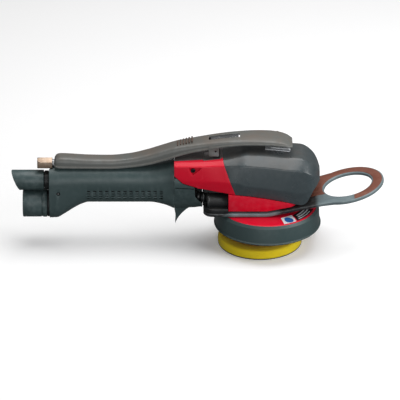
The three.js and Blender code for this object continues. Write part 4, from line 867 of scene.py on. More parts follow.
class Workshop:
    """All finishes, and the call that dresses a piece and hands it to the frame."""

    def __init__(self) -> None:
        """Builds the materials."""
        fx = Effects()
        grey_dust = linear(168, 160, 150)
        finishes = [
            Finish("slate plastic", linear(62, 80, 81), linear(56, 72, 73), linear(122, 136, 138), 0.4,
                   dust=0.06,
                   dust_and_reflection_colour=grey_dust, wear=0.3, mottle_share=0.3),
            # Brown on faces that look up, through the dust mask: painted reflection.
            Finish("cover plastic", linear(60, 71, 75), linear(54, 65, 69), linear(128, 136, 140), 0.3,
                   dust=0.34,
                   dust_and_reflection_colour=linear(122, 98, 78), wear=0.35, mottle_share=0.3, coat=0.1),
            Finish("bridge plastic", linear(92, 86, 86), linear(80, 74, 74), linear(140, 134, 132), 0.42,
                   dust=0.1,
                   dust_and_reflection_colour=grey_dust, wear=0.3, mottle_share=0.3),
            # Faces that look up turn brown through the dust mask.
            Finish("lever plastic", linear(101, 104, 101), linear(92, 94, 92), linear(160, 170, 174), 0.34,
                   dust=0.75,
                   dust_and_reflection_colour=linear(114, 92, 76), wear=0.5, mottle_share=0.3),
            Finish("worn ribs", linear(74, 54, 44), linear(60, 44, 36), linear(128, 104, 90), 0.5, wear=0.3),
            Finish("red plastic", linear(222, 8, 46), linear(206, 6, 40), linear(236, 96, 112), 0.34,
                   dust=0.02,
                   wear=0.14, specular=0.28, mottle_share=0.3, grain_depth=0.00002),
            Finish("black rubber", linear(20, 23, 25), linear(28, 31, 33), linear(70, 74, 76), 0.5, dust=0.08,
                   wear=0.3),
            Finish("hose plastic", linear(15, 17, 19), linear(23, 26, 28), linear(64, 70, 72), 0.36,
                   dust=0.06,
                   wear=0.3),
            # Shadow is painted into this plate's colour behind the neck and under the cover's nose.
            PlateWithPaintedShadow("loop plastic", linear(107, 123, 127), linear(99, 114, 118), linear(170, 182, 186),
                        0.36,
                        dust=0.1, wear=0.35, mottle_share=0.3),
            Finish("grip rubber", linear(118, 62, 42), linear(98, 50, 36), linear(154, 108, 88), 0.55,
                   grain_scale=600.0, grain_depth=0.0001, dust=0.08, wear=0.35),
            FoamFinish("yellow foam", linear(255, 228, 26), linear(246, 214, 22), linear(250, 234, 110), 0.85,
                       mottle_scale=45.0, wear=0.2, dust=0.02, effects=fx, grain_depth=0.0005, sheen=0.1),
            Finish("hook fabric", linear(22, 22, 23), linear(32, 31, 30), linear(60, 58, 56), 0.9,
                   grain_scale=1500.0, grain_depth=0.0002, dust=0.2, sheen=0.2),
            MachinedFinish("brass", linear(172, 152, 134), linear(156, 134, 116), linear(210, 194, 178), 0.42,
                           metal=0.8, dust=0.05, effects=fx, dark=linear(140, 112, 88), grain_depth=0.00002),
            MachinedFinish("steel", linear(178, 180, 182), linear(160, 162, 166), linear(214, 216, 218), 0.28,
                           metal=1.0, dust=0.04, effects=fx, dark=linear(110, 112, 116), grain_depth=0.00002),
            MachinedFinish("black steel", linear(34, 32, 34), linear(42, 40, 42), linear(96, 94, 96), 0.34,
                           metal=0.7, dust=0.04, effects=fx, dark=linear(18, 18, 20), grain_depth=0.00002),
            MachinedFinish("zinc", linear(226, 230, 234), linear(206, 210, 214), linear(244, 246, 248), 0.3,
                           metal=0.35, dust=0.02, effects=fx, dark=linear(150, 154,
                                                                          160), grain_depth=0.00002),
            MachinedFinish("alloy", linear(168, 170, 172), linear(150, 152, 156), linear(206, 208, 210), 0.42,
                           metal=1.0, dust=0.06, effects=fx, dark=linear(120, 122, 124), grain_depth=0.00003),
            Finish("laminate", linear(96, 74, 52), linear(82, 62, 44), linear(132, 110, 84), 0.6),
            Finish("label white", linear(226, 230, 234), linear(214, 219, 224), linear(238, 240, 242), 0.35,
                   dust=0.05,
                   wear=0.1, grain_depth=0.00001),
            Finish("label blue", linear(28, 92, 160), linear(24, 82, 148), linear(90, 140, 190), 0.35,
                   dust=0.05,
                   wear=0.1, grain_depth=0.00001),
            Finish("label black", linear(18, 20, 26), linear(26, 28, 34), linear(60, 62, 68), 0.3, dust=0.05,
                   wear=0.1, grain_depth=0.00001),
        ]
        self.materials = {f.name: f.build(fx) for f in finishes}

    def dress(self, piece: Shape, material: str, slot: str | None, body: Body, *nodes: str) -> Shape:
        """Gives a piece its material and hands it to the frame.

        Args:
            piece: The finished piece.
            material: Name of its finish.
            slot: The record's material slot, or None; not used.
            body: Body that carries it.
            nodes: Frame nodes that it stands for.

        Returns:
            The piece.
        """
        piece.data.materials.clear()
        piece.data.materials.append(self.materials[material])
        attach(piece, body.value)
        if nodes:
            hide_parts(*nodes)
        LOG.info("%s: %d faces, %s, on %s", piece.name, len(piece.data.polygons), material, body.value)
        return piece

    def dress_node(self, node: str, material: str) -> None:
        """Gives a frame node that stays a better material.

        Args:
            node: Name of the node.
            material: Name of the finish.
        """
        target = bpy.data.objects[node]
        for held in target.material_slots:
            held.material = self.materials[material]
        if not target.material_slots:
            target.data.materials.append(self.materials[material])


def grow(name: str, tree: Tree, values: dict[str, object]) -> Shape:
    """Runs a geometry tree and returns its result as a plain mesh object.

    Args:
        name: Name of the object.
        tree: The geometry tree.
        values: Value of each named input.

    Returns:
        The grown object.
    """
    mesh = bpy.data.meshes.new(name)
    made = bpy.data.objects.new(name, mesh)
    bpy.context.scene.collection.objects.link(made)
    run = made.modifiers.new("grow", "NODES")
    run.node_group = tree.tree
    for item in tree.tree.interface.items_tree:
        if item.item_type == "SOCKET" and item.in_out == "INPUT" and item.name in values:
            run[item.identifier] = values[item.name]
    settle(made)
    made.data.shade_smooth()
    made.data.set_sharp_from_angle(angle=math.radians(40))
    return made


# Head: cover, red body, bridge, guard
@dataclass
class HeadForm:
    """Shape that the head cover and the red body share, and the joint between them."""

    wall: float = 2.6
    stations: tuple[tuple[float, ...], ...] = ((-126.6, 20, 141, 28, 136.5, 29, 118, 28, 100),
                                               (-93, 22, 143, 31, 138, 33, 114, 32, 103),
                                               (-61, 25, 146, 34, 140.5, 39, 117, 38, 100),
                                               (-37, 26, 151, 38.5, 142.5, 43.5, 117, 42, 97.5),
                                               (-20, 26, 155, 41.5, 144, 45.5, 113, 43, 96),
                                               (5, 26, 154.5, 42.5, 142.5, 46, 110, 43, 92.5),
                                               (38, 26, 150.5, 42.5, 138, 45.5, 104.5, 43, 86),
                                               (60, 26, 149, 41.5, 135.5, 44.5, 101, 43, 81),)
    nose: tuple[tuple[float, ...], ...] = ((8, 0.985, 3.5, 1, 0.12), (13, 0.95, 7, 2.5, 0.5),
                                           (18.5, 0.86, 12, 4.5, 0.9), (23.5, 0.63, 18.5, 7, 0.95),
                                           (27.5, 0.36, 28, 9, 0.97),)
    split_top: Flat = (-60, 160)
    split_bottom: Flat = (-34, 90)
    plate_top: float = 67.9
    bend_x: float = 10.0
    pitch: float = math.radians(12.5)
    tip: float = 87.5

    def key_rows(self) -> list[tuple[float, ...]]:
        """Key rows of x and the eight sizes of the section, nose included.

        Returns:
            The rows, from the rear forwards.
        """
        rows = []
        for x, *sizes in self.stations:
            floor = self.plate_top + max(0.0, x - self.bend_x) * math.tan(self.pitch) + 2
            rows.append((x, *sizes[:7], max(sizes[7], floor)))
        x0, wt, zt, ws, zs, wl, zl, wb = rows[-1][:8]
        for forward, factor, fall, rise, cut in self.nose:
            x = x0 + forward
            low = self.plate_top + (x - self.bend_x) * math.tan(self.pitch) + 2
            side = zl + rise
            rows.append((x, wt * factor, zt - fall, ws * factor, zs - fall * 0.8, wl * factor, side,
                         wb * factor, low + (side - low) * cut))
        return rows

    def solid(self, name: str, inset: float = 0.0, deeper: float = 0.0) -> Shape:
        """Makes the whole closed form.

        Args:
            name: Name of the object.
            inset: How much smaller it is on every side.
            deeper: How much further down it is open.

        Returns:
            The solid.
        """
        rings = []
        rows = eased(self.key_rows(), 7)
        limit = self.tip - inset
        last = [float(np.interp(limit, rows[:, 0], rows[:, k])) for k in range(rows.shape[1])]
        for x, wt, zt, ws, zs, wl, zl, wb, zb in [*(r for r in rows if r[0] < limit - 0.2), last]:
            lower = zb - deeper
            right = [(wb - inset, lower), (wl - inset, zl), (ws - inset, zs - inset),
                     (wt - inset, zt - inset)]
            right = [(max(0.5, y), z) for y, z in right]
            outline = right + [(-y, z) for y, z in reversed(right)]
            reach = [1.0, 1.8, 1.6, 3.2, 3.2, 1.6, 1.8, 1.0]
            flat = rounded(outline, [max(0.3, r - inset * 0.6) for r in reach], 4)
            rings.append([(x, y, z) for y, z in flat])
        return loft(name, rings)

    def ahead(self, offset: float) -> Shape:
        """Makes a tool of everything ahead of the slanted joint.

        Args:
            offset: How far the joint is moved forward.

        Returns:
            The tool.
        """
        (tx, tz), (bx, bz) = self.split_top, self.split_bottom
        slope = (bx - tx) / (bz - tz)
        foot, head = tx - tz * slope + offset, tx + (400 - tz) * slope + offset
        return side_tool([(foot, 0), (FAR, 0), (FAR, 400), (head, 400)])


@dataclass
class Head:
    """The head cover, the red body's halves, the bridge between them and the finger guard."""

    shop: Workshop
    form: HeadForm = field(default_factory=HeadForm)
    body_rear: float = -126.6
    red_lower_edge: tuple[Flat, ...] = ((-400, 122), (-126.6, 122), (-114, 110.5), (-93, 104.5), (-70, 60),
                                        (FAR, 60), (FAR, 400), (-400, 400))
    bridge_half_width: float = 17.5
    well: tuple[float, float, float, float] = (-84, -58, 21, 138.4)
    niche: tuple[Flat, ...] = ((-106, 136.5), (-99.5, 124), (-86, 136.5))
    niche_floor: float = 27.6
    screw_x: float = -99
    screw_z: float = 131
    duct_y: float = -26.5
    duct_z: float = 80.3
    duct_radius: float = 12.0
    lap: float = 1.3
    lap_reach: float = 3.0
    clearance: float = 0.4
    well_lip: float = 2.5

    def build(self) -> None:
        """Makes and dresses every piece."""
        self._cover()
        self._red_body()
        self._bridge()
        self._guard()

    def _hollow(self) -> Shape:
        """The shell's inside, as a tool."""
        return self.form.solid("hollow", self.form.wall, 12)

    def _cover(self) -> None:
        """Head cover with its faceted side, rounded nose and slanted rear edge."""
        cover = self.form.solid("head_cover_shell")
        carve(cover, [self.form.ahead(0.1)], "INTERSECT")
        lip = self.form.solid("lip", self.lap)
        carve(lip, [self.form.ahead(-self.lap_reach)], "INTERSECT")
        carve(cover, [lip], "UNION")
        carve(cover, [self._hollow()])
        _, front, half, floor = self.well
        gap = self.clearance
        room = box_tool((-FAR, -half - gap, floor - self.well_lip), (front + gap, half + gap, FAR))
        duct = lathe("tool", [(0, 0), (self.duct_radius + 1.4, 0), (self.duct_radius + 1.4, 260), (0, 260)],
                     (-200, self.duct_y, self.duct_z), Axis.X, 32)
        carve(cover, [room, duct])
        finish_edges(cover, 0.7, 3, 40)
        self.shop.dress(cover, "cover plastic", "cover", Body.HOUSING, "head_cover")

    def _red_body(self) -> None:
        """Two red halves between the handle and the head cover, each with a screw in a niche."""
        whole = self.form.solid("red")
        carve(whole, [self._hollow()])
        carve(whole, [side_tool(self.red_lower_edge)], "INTERSECT")
        rear, front, half, floor = self.well
        gap = self.clearance
        bridge = self.bridge_half_width + gap
        rebate = self.form.solid("tool", self.lap - 0.15, 12)
        carve(rebate, [self.form.ahead(-self.lap_reach - 0.3)], "INTERSECT")
        carve(whole, [self.form.ahead(-0.1), rebate, box_tool((-FAR, -bridge, 128), (-40, bridge, FAR)),
                      box_tool((rear - gap, -half - gap, floor - self.well_lip),
                               (front + gap, half + gap, FAR))])
        for name, side in (("near", -1), ("far", 1)):
            half_body = whole.copy()
            half_body.data = whole.data.copy()
            half_body.name = f"red_body_{name}"
            bpy.context.scene.collection.objects.link(half_body)
            low, high = sorted((side * 0.15, side * FAR))
            carve(half_body, [box_tool((-FAR, low, -10), (FAR, high, FAR))], "INTERSECT")
            boss = self.form.solid("boss")
            low, high = sorted((side * (self.niche_floor - 2.6), side * FAR))
            carve(boss, [box_tool((-109.5, low, 120.5), (-82, high, 139.8))], "INTERSECT")
            carve(half_body, [boss], "UNION")
            low, high = sorted((side * self.niche_floor, side * FAR))
            corner = rounded(self.niche, 2.0, 4)
            bore = lathe("tool", [(0, -40), (2.3, -40), (2.3, 40), (0, 40)], (self.screw_x, 0, self.screw_z),
                         Axis.Y, 24)
            carve(half_body, [side_tool(corner, low, high), bore])
            finish_edges(half_body, 0.6, 3, 38)
            self.shop.dress(half_body, "red plastic", "red", Body.HOUSING, f"body_shell_{name}")
            screw = socket_screw(f"body_screw_{name}_head", self.screw_x, self.screw_z,
                                 side * (self.niche_floor + 0.4), side, 3.4, 2.0, 8.0)
            self.shop.dress(screw, "black steel", "steel", Body.HOUSING, f"body_screw_{name}")
        drop(whole)

    def _bridge(self) -> None:
        """Bridge under the lever, with the well for the latch."""
        lid = self.form.solid("top_bridge_lid")
        half = self.bridge_half_width
        rear, front, well_half, floor = self.well
        carve(lid, [box_tool((self.body_rear + 0.2, -half, 136), (-40, half, FAR))], "INTERSECT")
        carve(lid, [self._hollow()])
        outside = self.form.solid("tool")
        carve(outside, [box_tool((rear, -well_half, floor - 2), (front, well_half, 150))], "INTERSECT")
        carve(lid, [outside], "UNION")
        carve(lid, [box_tool((rear + 2, -well_half + 2, floor), (front - 2, well_half - 2, FAR)),
                    self.form.ahead(-0.4)])
        finish_edges(lid, 0.5, 2, 38)
        self.shop.dress(lid, "bridge plastic", "slate", Body.HOUSING, "top_bridge")

    def _guard(self) -> None:
        """Finger guard with its hooked fin, under the red body."""
        guard = softened("finger_guard", 0.8, 3, 30)
        guard.name = "finger_guard_shell"
        groove = box_tool((self.body_rear + 1.2, -FAR, 101.2), (-97.6, -25.2, 102.6))
        carve(guard, [groove])
        finish_edges(guard)
        self.shop.dress(guard, "slate plastic", "slate", Body.HOUSING, "finger_guard")


def socket_screw(name: str, x: float, z: float, seat: float, side: int, radius: float, height: float,
                 shank: float) -> Shape:
    """Makes a screw across the part, with a hexagonal socket in its head.

    Args:
        name: Name of the screw.
        x: Place along X.
        z: Place along Z.
        seat: Y of the face under its head.
        side: -1 when the head looks to the near side, 1 to the far side.
        radius: Radius of the head.
        height: Height of the head.
        shank: Y distance from the centre line at which the shank ends.

    Returns:
        The screw.
    """
    top = seat + side * height
    profile = [(0, side * shank), (1.9, side * shank), (1.9, seat), (radius, seat),
               (radius, top - side * 0.5), (radius - 0.5, top), (0, top)]
    screw = lathe(name, profile, (x, 0, z), Axis.Y, 40)
    socket = lathe("tool", [(0, top - side * 1.3), (1.7, top - side * 1.3), (1.7, top + side),
                            (0, top + side)], (x, 0, z), Axis.Y, 6)
    carve(screw, [socket])
    return finish_edges(screw, 0.12, 1, 30)


# Handle
@dataclass
class Handle:
    """Two handle halves with their vents, louvres and screw."""

    shop: Workshop
    rear: float = -311.0
    front: float = -127.0
    half_width: float = 22.0
    top: float = 126.0
    bottom: float = 68.0
    wall: float = 2.6
    rear_drop: float = 26.0
    rear_length: float = 58.0
    front_drop: float = 10.5
    front_length: float = 36.0
    front_widen: float = 3.5
    front_rise: float = 9.0
    vent_columns: int = 13
    vent_pitch: float = 8.9
    vent_width: float = 4.8
    vent_height: float = 14.0
    louvre_rows: int = 3
    louvre_pitch: float = 3.7
    louvre_height: float = 2.2
    louvre_width: float = 6.2
    louvre_depth: float = 1.6
    louvre_y: float = 20.6
    vent_rise: float = 19
    vent_start: float = 19
    joint_gap: float = 0.15
    clearance: float = 0.4
    valve_room: Flat = (8.4, 105)
    inlet_room: Flat = (9.4, 120)
    channel_room: Flat = (6.4, 123)
    screw_ahead: float = 13.5
    screw_below: float = 36.5
    screw_bore: float = 2.3
    screw_seat_radius: float = 2.9
    screw_seat: float = -21.6

    def section(self, half_width: float, low: float, high: float, x: float) -> list[Space]:
        """Section of the handle: straight sides between two half rounds.

        Args:
            half_width: Radius of the half rounds.
            low: Lowest z.
            high: Highest z.
            x: Place of the section.

        Returns:
            The points of the section.
        """
        ring: list[Space] = []
        for centre, start in ((low + half_width, 180), (high - half_width, 0)):
            for y, z in arc((0, centre), half_width, start, start + 180, 14):
                ring.append((x, y, z))
        return ring

    def rows(self) -> list[tuple[float, float, float, float]]:
        """Key rows of x, half width, lowest and highest z.

        Returns:
            The rows, from the rear forwards.
        """
        low, rear, w, drop_ = self.bottom - self.rear_drop, self.rear, self.half_width, self.rear_drop
        reach, front = self.rear_length, self.front
        return [(rear, w + 1.5, low, self.top), (rear + 11, w + 1.5, low + 0.6, self.top),
                (rear + reach * 0.35, w + 1, low + drop_ * 0.22, self.top),
                (rear + reach * 0.6, w + 0.5, low + drop_ * 0.6, self.top),
                (rear + reach * 0.83, w, low + drop_ * 0.89, self.top),
                (rear + reach, w, self.bottom, self.top), (front - self.front_length, w, self.bottom,
                                                           self.top), (front - self.front_length * 0.4,
                                                                       w + self.front_widen * 0.4,
                                                                       self.bottom - self.front_drop * 0.4,
                                                                       self.top + self.front_rise * 0.45),
                (front + 0.25, w + self.front_widen, self.bottom - self.front_drop,
                 self.top + self.front_rise),]

    def solid(self, name: str, inset: float = 0.0, longer: float = 0.0) -> Shape:
        """Makes the handle's closed form.

        Args:
            name: Name of the object.
            inset: How much smaller it is.
            longer: How much longer it is at both ends.

        Returns:
            The solid.
        """
        rings = [self.section(w - inset, low + inset, high - inset, x) for x, w, low,
                 high in eased(self.rows(), 6)]
        if longer:
            rings.insert(0, [(x - longer, y, z) for x, y, z in rings[0]])
            rings.append([(x + longer, y, z) for x, y, z in rings[-1]])
        return loft(name, rings)

    def build(self) -> None:
        """Makes and dresses every piece."""
        level, first = self.bottom + self.vent_rise, self.front - self.vent_start
        for name, side in (("near", -1), ("far", 1)):
            shell = self.solid(f"handle_{name}")
            low, high = sorted((side * self.joint_gap, side * FAR))
            carve(shell, [box_tool((-FAR, low, -10), (FAR, high, FAR))], "INTERSECT")
            for tool in self._half_tools(side, first, level):
                carve(shell, [tool])
            finish_edges(shell, 0.45, 2, 38)
            self.shop.dress(shell, "slate plastic", "slate", Body.HOUSING, f"handle_shell_{name}")
        middle_row = (self.louvre_rows - 1) / 2
        louvres = grow("vent_louvres", self._louvre_tree(), {
            "Columns": self.vent_columns, "Column pitch": self.vent_pitch * MM, "Rows": self.louvre_rows,
            "Row pitch": self.louvre_pitch * MM,
            "Bar": (self.louvre_width * MM, self.louvre_depth * MM, self.louvre_height * MM),
            "First": ((first - (self.vent_columns - 1) * self.vent_pitch) * MM, self.louvre_y * MM,
                      (level - middle_row * self.louvre_pitch) * MM)})
        self.shop.dress(louvres, "slate plastic", "slate", Body.HOUSING)
        self._screw()

    def _screw_place(self) -> Space:
        """Point on the middle plane where the screw's axis passes."""
        return self.rear + self.screw_ahead, 0, self.top - self.screw_below

    def _half_tools(self, side: int, first: float, level: float) -> list[Shape]:
        """Makes the tools that open one half: inside, vents, room for valve and inlet, screw hole.

        Args:
            side: -1 for the near half, 1 for the far half.
            first: X of the foremost vent.
            level: Height of the vents' middle.

        Returns:
            The closed tools, in the order in which they cut.
        """
        valve, inlet = Extent.of("valve_block"), Extent.of("inlet_fitting")
        gap = self.clearance
        tools = [self.solid("hollow", self.wall, 2.0)]
        for k in range(self.vent_columns):
            x = first - k * self.vent_pitch
            tools.append(box_tool((x - self.vent_width / 2, -FAR, level - self.vent_height / 2),
                                  (x + self.vent_width / 2, FAR, level + self.vent_height / 2)))
        half, floor = self.valve_room
        tools.append(box_tool((valve.low.x - gap, -half, floor), (valve.high.x + gap, half, FAR)))
        half, floor = self.inlet_room
        tools.append(box_tool((-FAR, -half, floor), (inlet.high.x + gap, half, FAR)))
        half, floor = self.channel_room
        tools.append(box_tool((-FAR, -half, floor), (valve.low.x, half, FAR)))
        bore, reach = self.screw_bore, 60
        tools.append(lathe("tool", [(0, -reach), (bore, -reach), (bore, reach), (0, reach)],
                           self._screw_place(), Axis.Y, 24))
        if side < 0:
            seat, depth = self.screw_seat_radius, self.screw_seat
            tools.append(lathe("tool", [(0, -reach), (seat, -reach), (seat, depth), (0, depth)],
                               self._screw_place(), Axis.Y, 32))
        return tools

    def _screw(self) -> None:
        """Makes the screw's head with its socket, and dresses the screw behind it."""
        screw = lathe("handle_screw_head", [(0, -21.8), (2.6, -21.8), (2.6, -22.4), (2.2, -22.7), (0, -22.7)],
                      self._screw_place(), Axis.Y, 36)
        recess = lathe("tool", [(0, -22.1), (1.3, -22.1), (1.3, -24), (0, -24)], self._screw_place(), Axis.Y,
                       6)
        carve(screw, [recess])
        finish_edges(screw)
        self.shop.dress(screw, "black steel", "steel", Body.HOUSING)
        self.shop.dress_node("handle_screw", "steel")

    def _louvre_tree(self) -> Tree:
        """Grid of small bars, repeated on both sides of the handle.

        Returns:
            The tree.
        """
        work, start, end = group("Vent louvres", GEOMETRY_GROUP,
                                 [Socket("Columns", "NodeSocketInt", 13), Socket("Column pitch", FLOAT, 0.01),
                                  Socket("Rows", "NodeSocketInt", 3), Socket("Row pitch", FLOAT, 0.003),
                                  Socket("Bar", VECTOR, (0.006, 0.002, 0.002)), Socket("First", VECTOR)],
                                 [Socket("Geometry", GEOMETRY)])
        out = start.outputs
        along = work.node("ShaderNodeCombineXYZ", {0: out["Column pitch"]})
        up = work.node("ShaderNodeCombineXYZ", {2: out["Row pitch"]})
        columns = work.node("GeometryNodeMeshLine", {"Count": out["Columns"], "Start Location": out["First"],
                                                     "Offset": along.outputs[0]})
        rows = work.node("GeometryNodeMeshLine", {"Count": out["Rows"], "Offset": up.outputs[0]})
        grid = work.node("GeometryNodeInstanceOnPoints",
                         {"Points": columns.outputs[0], "Instance": rows.outputs[0]})
        spots = work.node("GeometryNodeRealizeInstances", {0: grid.outputs[0]})
        bar = work.node("GeometryNodeMeshCube", {"Size": out["Bar"]})
        far = work.node("GeometryNodeInstanceOnPoints",
                        {"Points": spots.outputs[0], "Instance": bar.outputs[0]})
        real = work.node("GeometryNodeRealizeInstances", {0: far.outputs[0]})
        flip = work.node("ShaderNodeVectorMath", {0: out["First"], 1: (0.0, -2.0, 0.0)}, operation="MULTIPLY")
        near = work.node("GeometryNodeTransform",
                         {"Geometry": real.outputs[0], "Translation": flip.outputs[0]})
        both = work.node("GeometryNodeJoinGeometry")
        work.link(real.outputs[0], both.inputs[0])
        work.link(near.outputs[0], both.inputs[0])
        return work.ended(both.outputs[0], self.shop.materials["slate plastic"], end)


# Throttle lever
@dataclass
class Lever:
    """Throttle lever over the handle, its slot, lugs, grip ribs, pins and latch."""

    shop: Workshop
    wall: float = 2.4
    pivot: Flat = (-272.0, 131.5)
    latch_x: float = -66.0
    latch_z: float = 156.9
    slot: tuple[float, float, float] = (-76.0, -30.1, 12.0)
    stations: tuple[tuple[float, float, float, float], ...] = ((-303, 12, 128.5, 136.5),
                                                               (-300, 13.5, 127.5, 140.6),
                                                               (-294, 14, 126.8, 142),
                                                               (-251, 14, 126.2, 139.6),
                                                               (-222, 14, 126, 139.2),
                                                               (-193, 14.2, 128.2, 142),
                                                               (-165, 15, 133, 148.6),
                                                               (-143, 15.6, 139.6, 155.8),
                                                               (-122, 16.4, 147.4, 162),
                                                               (-98, 17.2, 154.6, 166.4),
                                                               (-77, 18, 159, 170), (-58, 19, 163.2, 172.6),
                                                               (-37, 20, 166.2, 174.6),
                                                               (-8, 21.5, 168, 175.8), (12, 22, 168, 175.2),
                                                               (28, 21.5, 166.4, 173.2),
                                                               (39, 19.5, 164.2, 170),
                                                               (47, 15, 161.6, 165.6),)

    def ring(self, row: Sequence[float], inside: bool) -> list[Space]:
        """Section of the lever: a crowned top, a side flange and a lip along its lower edge.

        Args:
            row: Place, half width, lowest and highest z.
            inside: True for the hollow.

        Returns:
            The points of the section.
        """
        x, w, low, top = row
        tall = top - low
        if inside:
            right = [(w - self.wall, low - 6), (w - self.wall, top - 3.6),
                     (w - self.wall - 2.4, top - self.wall)]
            reach = [0.2, 1.0, 1.0]
        else:
            lip = min(2.2, tall * 0.3)
            right = [(w, low), (w, low + lip), (w - 1.0, low + lip + 0.9), (w - 1.2, top - tall * 0.36),
                     (w - 3.4, top - 1.1), (w * 0.45, top)]
            reach = [0.6, 0.5, 0.6, 2.4, 3.4, 5.0]
        outline = right + [(-y, z) for y, z in reversed(right)]
        flat = rounded(outline, reach + reach[::-1], 4)
        return [(x, y, z) for y, z in flat]

    def at(self, x: float) -> tuple[float, float, float]:
        """Half width, lower edge and top at a place along the lever."""
        rows = eased(self.stations, 6)
        return tuple(float(np.interp(x, rows[:, 0], rows[:, k])) for k in (1, 2, 3))

    def build(self) -> None:
        """Makes and dresses every piece."""
        lever = loft("throttle_lever_shell", [self.ring(r, False) for r in eased(self.stations, 6)])
        rows = [*self.stations[1:-1], (45.0, *self.at(45.0))]
        inside = loft("tool", [self.ring(r, True) for r in eased(rows, 6)])
        mouth = box_tool((-FAR, -7.4, 0), (-283, 7.4, 136.2))
        rear, front, width = self.slot
        slot = plate("tool", [rounded([(rear, -width / 2), (front, -width / 2), (front, width / 2),
                                       (rear, width / 2)], 2.0, 4)], 150, 250, 0.05)
        carve(lever, [inside, mouth, slot])
        half, low, _ = self.at(self.latch_x)
        for side in (-1, 1):
            outer, inner = side * (half - 0.4), side * (half - 2.8)
            lug = rounded([(self.latch_x - 10, low + 3), (self.latch_x - 10, low - 12.5),
                           (self.latch_x + 5, low - 12.5), (self.latch_x + 5, low + 3)], 1.6, 4)
            carve(lever, [side_tool(lug, *sorted((outer, inner)))], "UNION")
        rib_x = 25.0
        rib_half, _, rib_top = self.at(rib_x)
        travel = math.tan(math.radians(1.6)) * (rib_x + 1.5 - self.pivot[0])
        rib_low = Extent.of("stop_clip").high.z + travel + 0.4
        rib = box_tool((rib_x - 1.5, -rib_half + 2.2, rib_low), (rib_x + 1.5, rib_half - 2.2, rib_top - 1.2))
        carve(lever, [rib], "UNION")
        pivot = lathe("tool", [(0, -12.6), (2.2, -12.6), (2.2, 12.6), (0, 12.6)],
                      (self.pivot[0], 0, self.pivot[1]), Axis.Y, 32)
        pin = lathe("tool", [(0, -40), (1.7, -40), (1.7, 40), (0, 40)], (self.latch_x, 0, self.latch_z),
                    Axis.Y, 24)
        carve(lever, [pivot, pin])
        finish_edges(lever, 0.4, 2, 40)
        self.shop.dress(lever, "lever plastic", "lever", Body.LEVER, "throttle_lever")
        ribs = grow("lever_grip_ribs", self._rib_tree(), {"Count": 6, "Pitch": 4.2 * MM, "Length": 17.0 * MM,
                                                          "Start": (-121.5 * MM, 0, 0), "Slope": 0.31,
                                                          "Base": 161.9 * MM})
        self.shop.dress(ribs, "worn ribs", "lever", Body.LEVER)
        for node, half_length, spot, radius, body in (
                ("lever_pin", 12.4, (self.pivot[0], 0, self.pivot[1]), 2.0, Body.HOUSING),
                ("latch_pin", half - 0.5, (self.latch_x, 0, self.latch_z), 1.5, Body.LEVER)):
            profile = [(0, -half_length), (radius - 0.4, -half_length), (radius, -half_length + 0.4),
                       (radius, half_length - 0.4), (radius - 0.4, half_length), (0, half_length)]
            shaft = lathe(f"{node}_turned", profile, spot, Axis.Y, 32)
            finish_edges(shaft)
            self.shop.dress(shaft, "black steel", "steel", body, node)
        latch = softened("lock_latch", 0.5, 3, 30)
        latch.name = "lock_latch_blade"
        self.shop.dress(latch, "steel", "steel", Body.LATCH, "lock_latch")
        clip = softened("stop_clip", 0.25, 2, 30)
        clip.name = "stop_clip_strip"
        self.shop.dress(clip, "zinc", "steel", Body.HOUSING, "stop_clip")

    def _rib_tree(self) -> Tree:
        """Row of rounded ribs across the lever, climbing with its top.

        Returns:
            The tree.
        """
        work, start, end = group("Grip ribs", GEOMETRY_GROUP,
                                 [Socket("Count", "NodeSocketInt", 6), Socket("Pitch", FLOAT, 0.004),
                                  Socket("Length", FLOAT, 0.017), Socket("Start", VECTOR),
                                  Socket("Slope", FLOAT, 0.3), Socket("Base", FLOAT, 0.16)],
                                 [Socket("Geometry", GEOMETRY)])
        out = start.outputs
        climb = work.math("MULTIPLY", out["Pitch"], out["Slope"])
        step = work.node("ShaderNodeCombineXYZ", {0: out["Pitch"], 2: climb})
        lift = work.node("ShaderNodeCombineXYZ", {2: out["Base"]})
        first = work.node("ShaderNodeVectorMath", {0: out["Start"], 1: lift.outputs[0]}, operation="ADD")
        line = work.node("GeometryNodeMeshLine", {"Count": out["Count"], "Start Location": first.outputs[0],
                                                  "Offset": step.outputs[0]})
        rib = work.node("GeometryNodeMeshCylinder",
                        {"Vertices": 14, "Radius": 0.0011, "Depth": out["Length"]})
        turned = work.node("GeometryNodeTransform",
                           {"Geometry": rib.outputs[0], "Rotation": (math.pi / 2, 0, 0)})
        placed = work.node("GeometryNodeInstanceOnPoints",
                           {"Points": line.outputs[0], "Instance": turned.outputs[0]})
        real = work.node("GeometryNodeRealizeInstances", {0: placed.outputs[0]})
        return work.ended(real.outputs[0], self.shop.materials["lever plastic"], end)


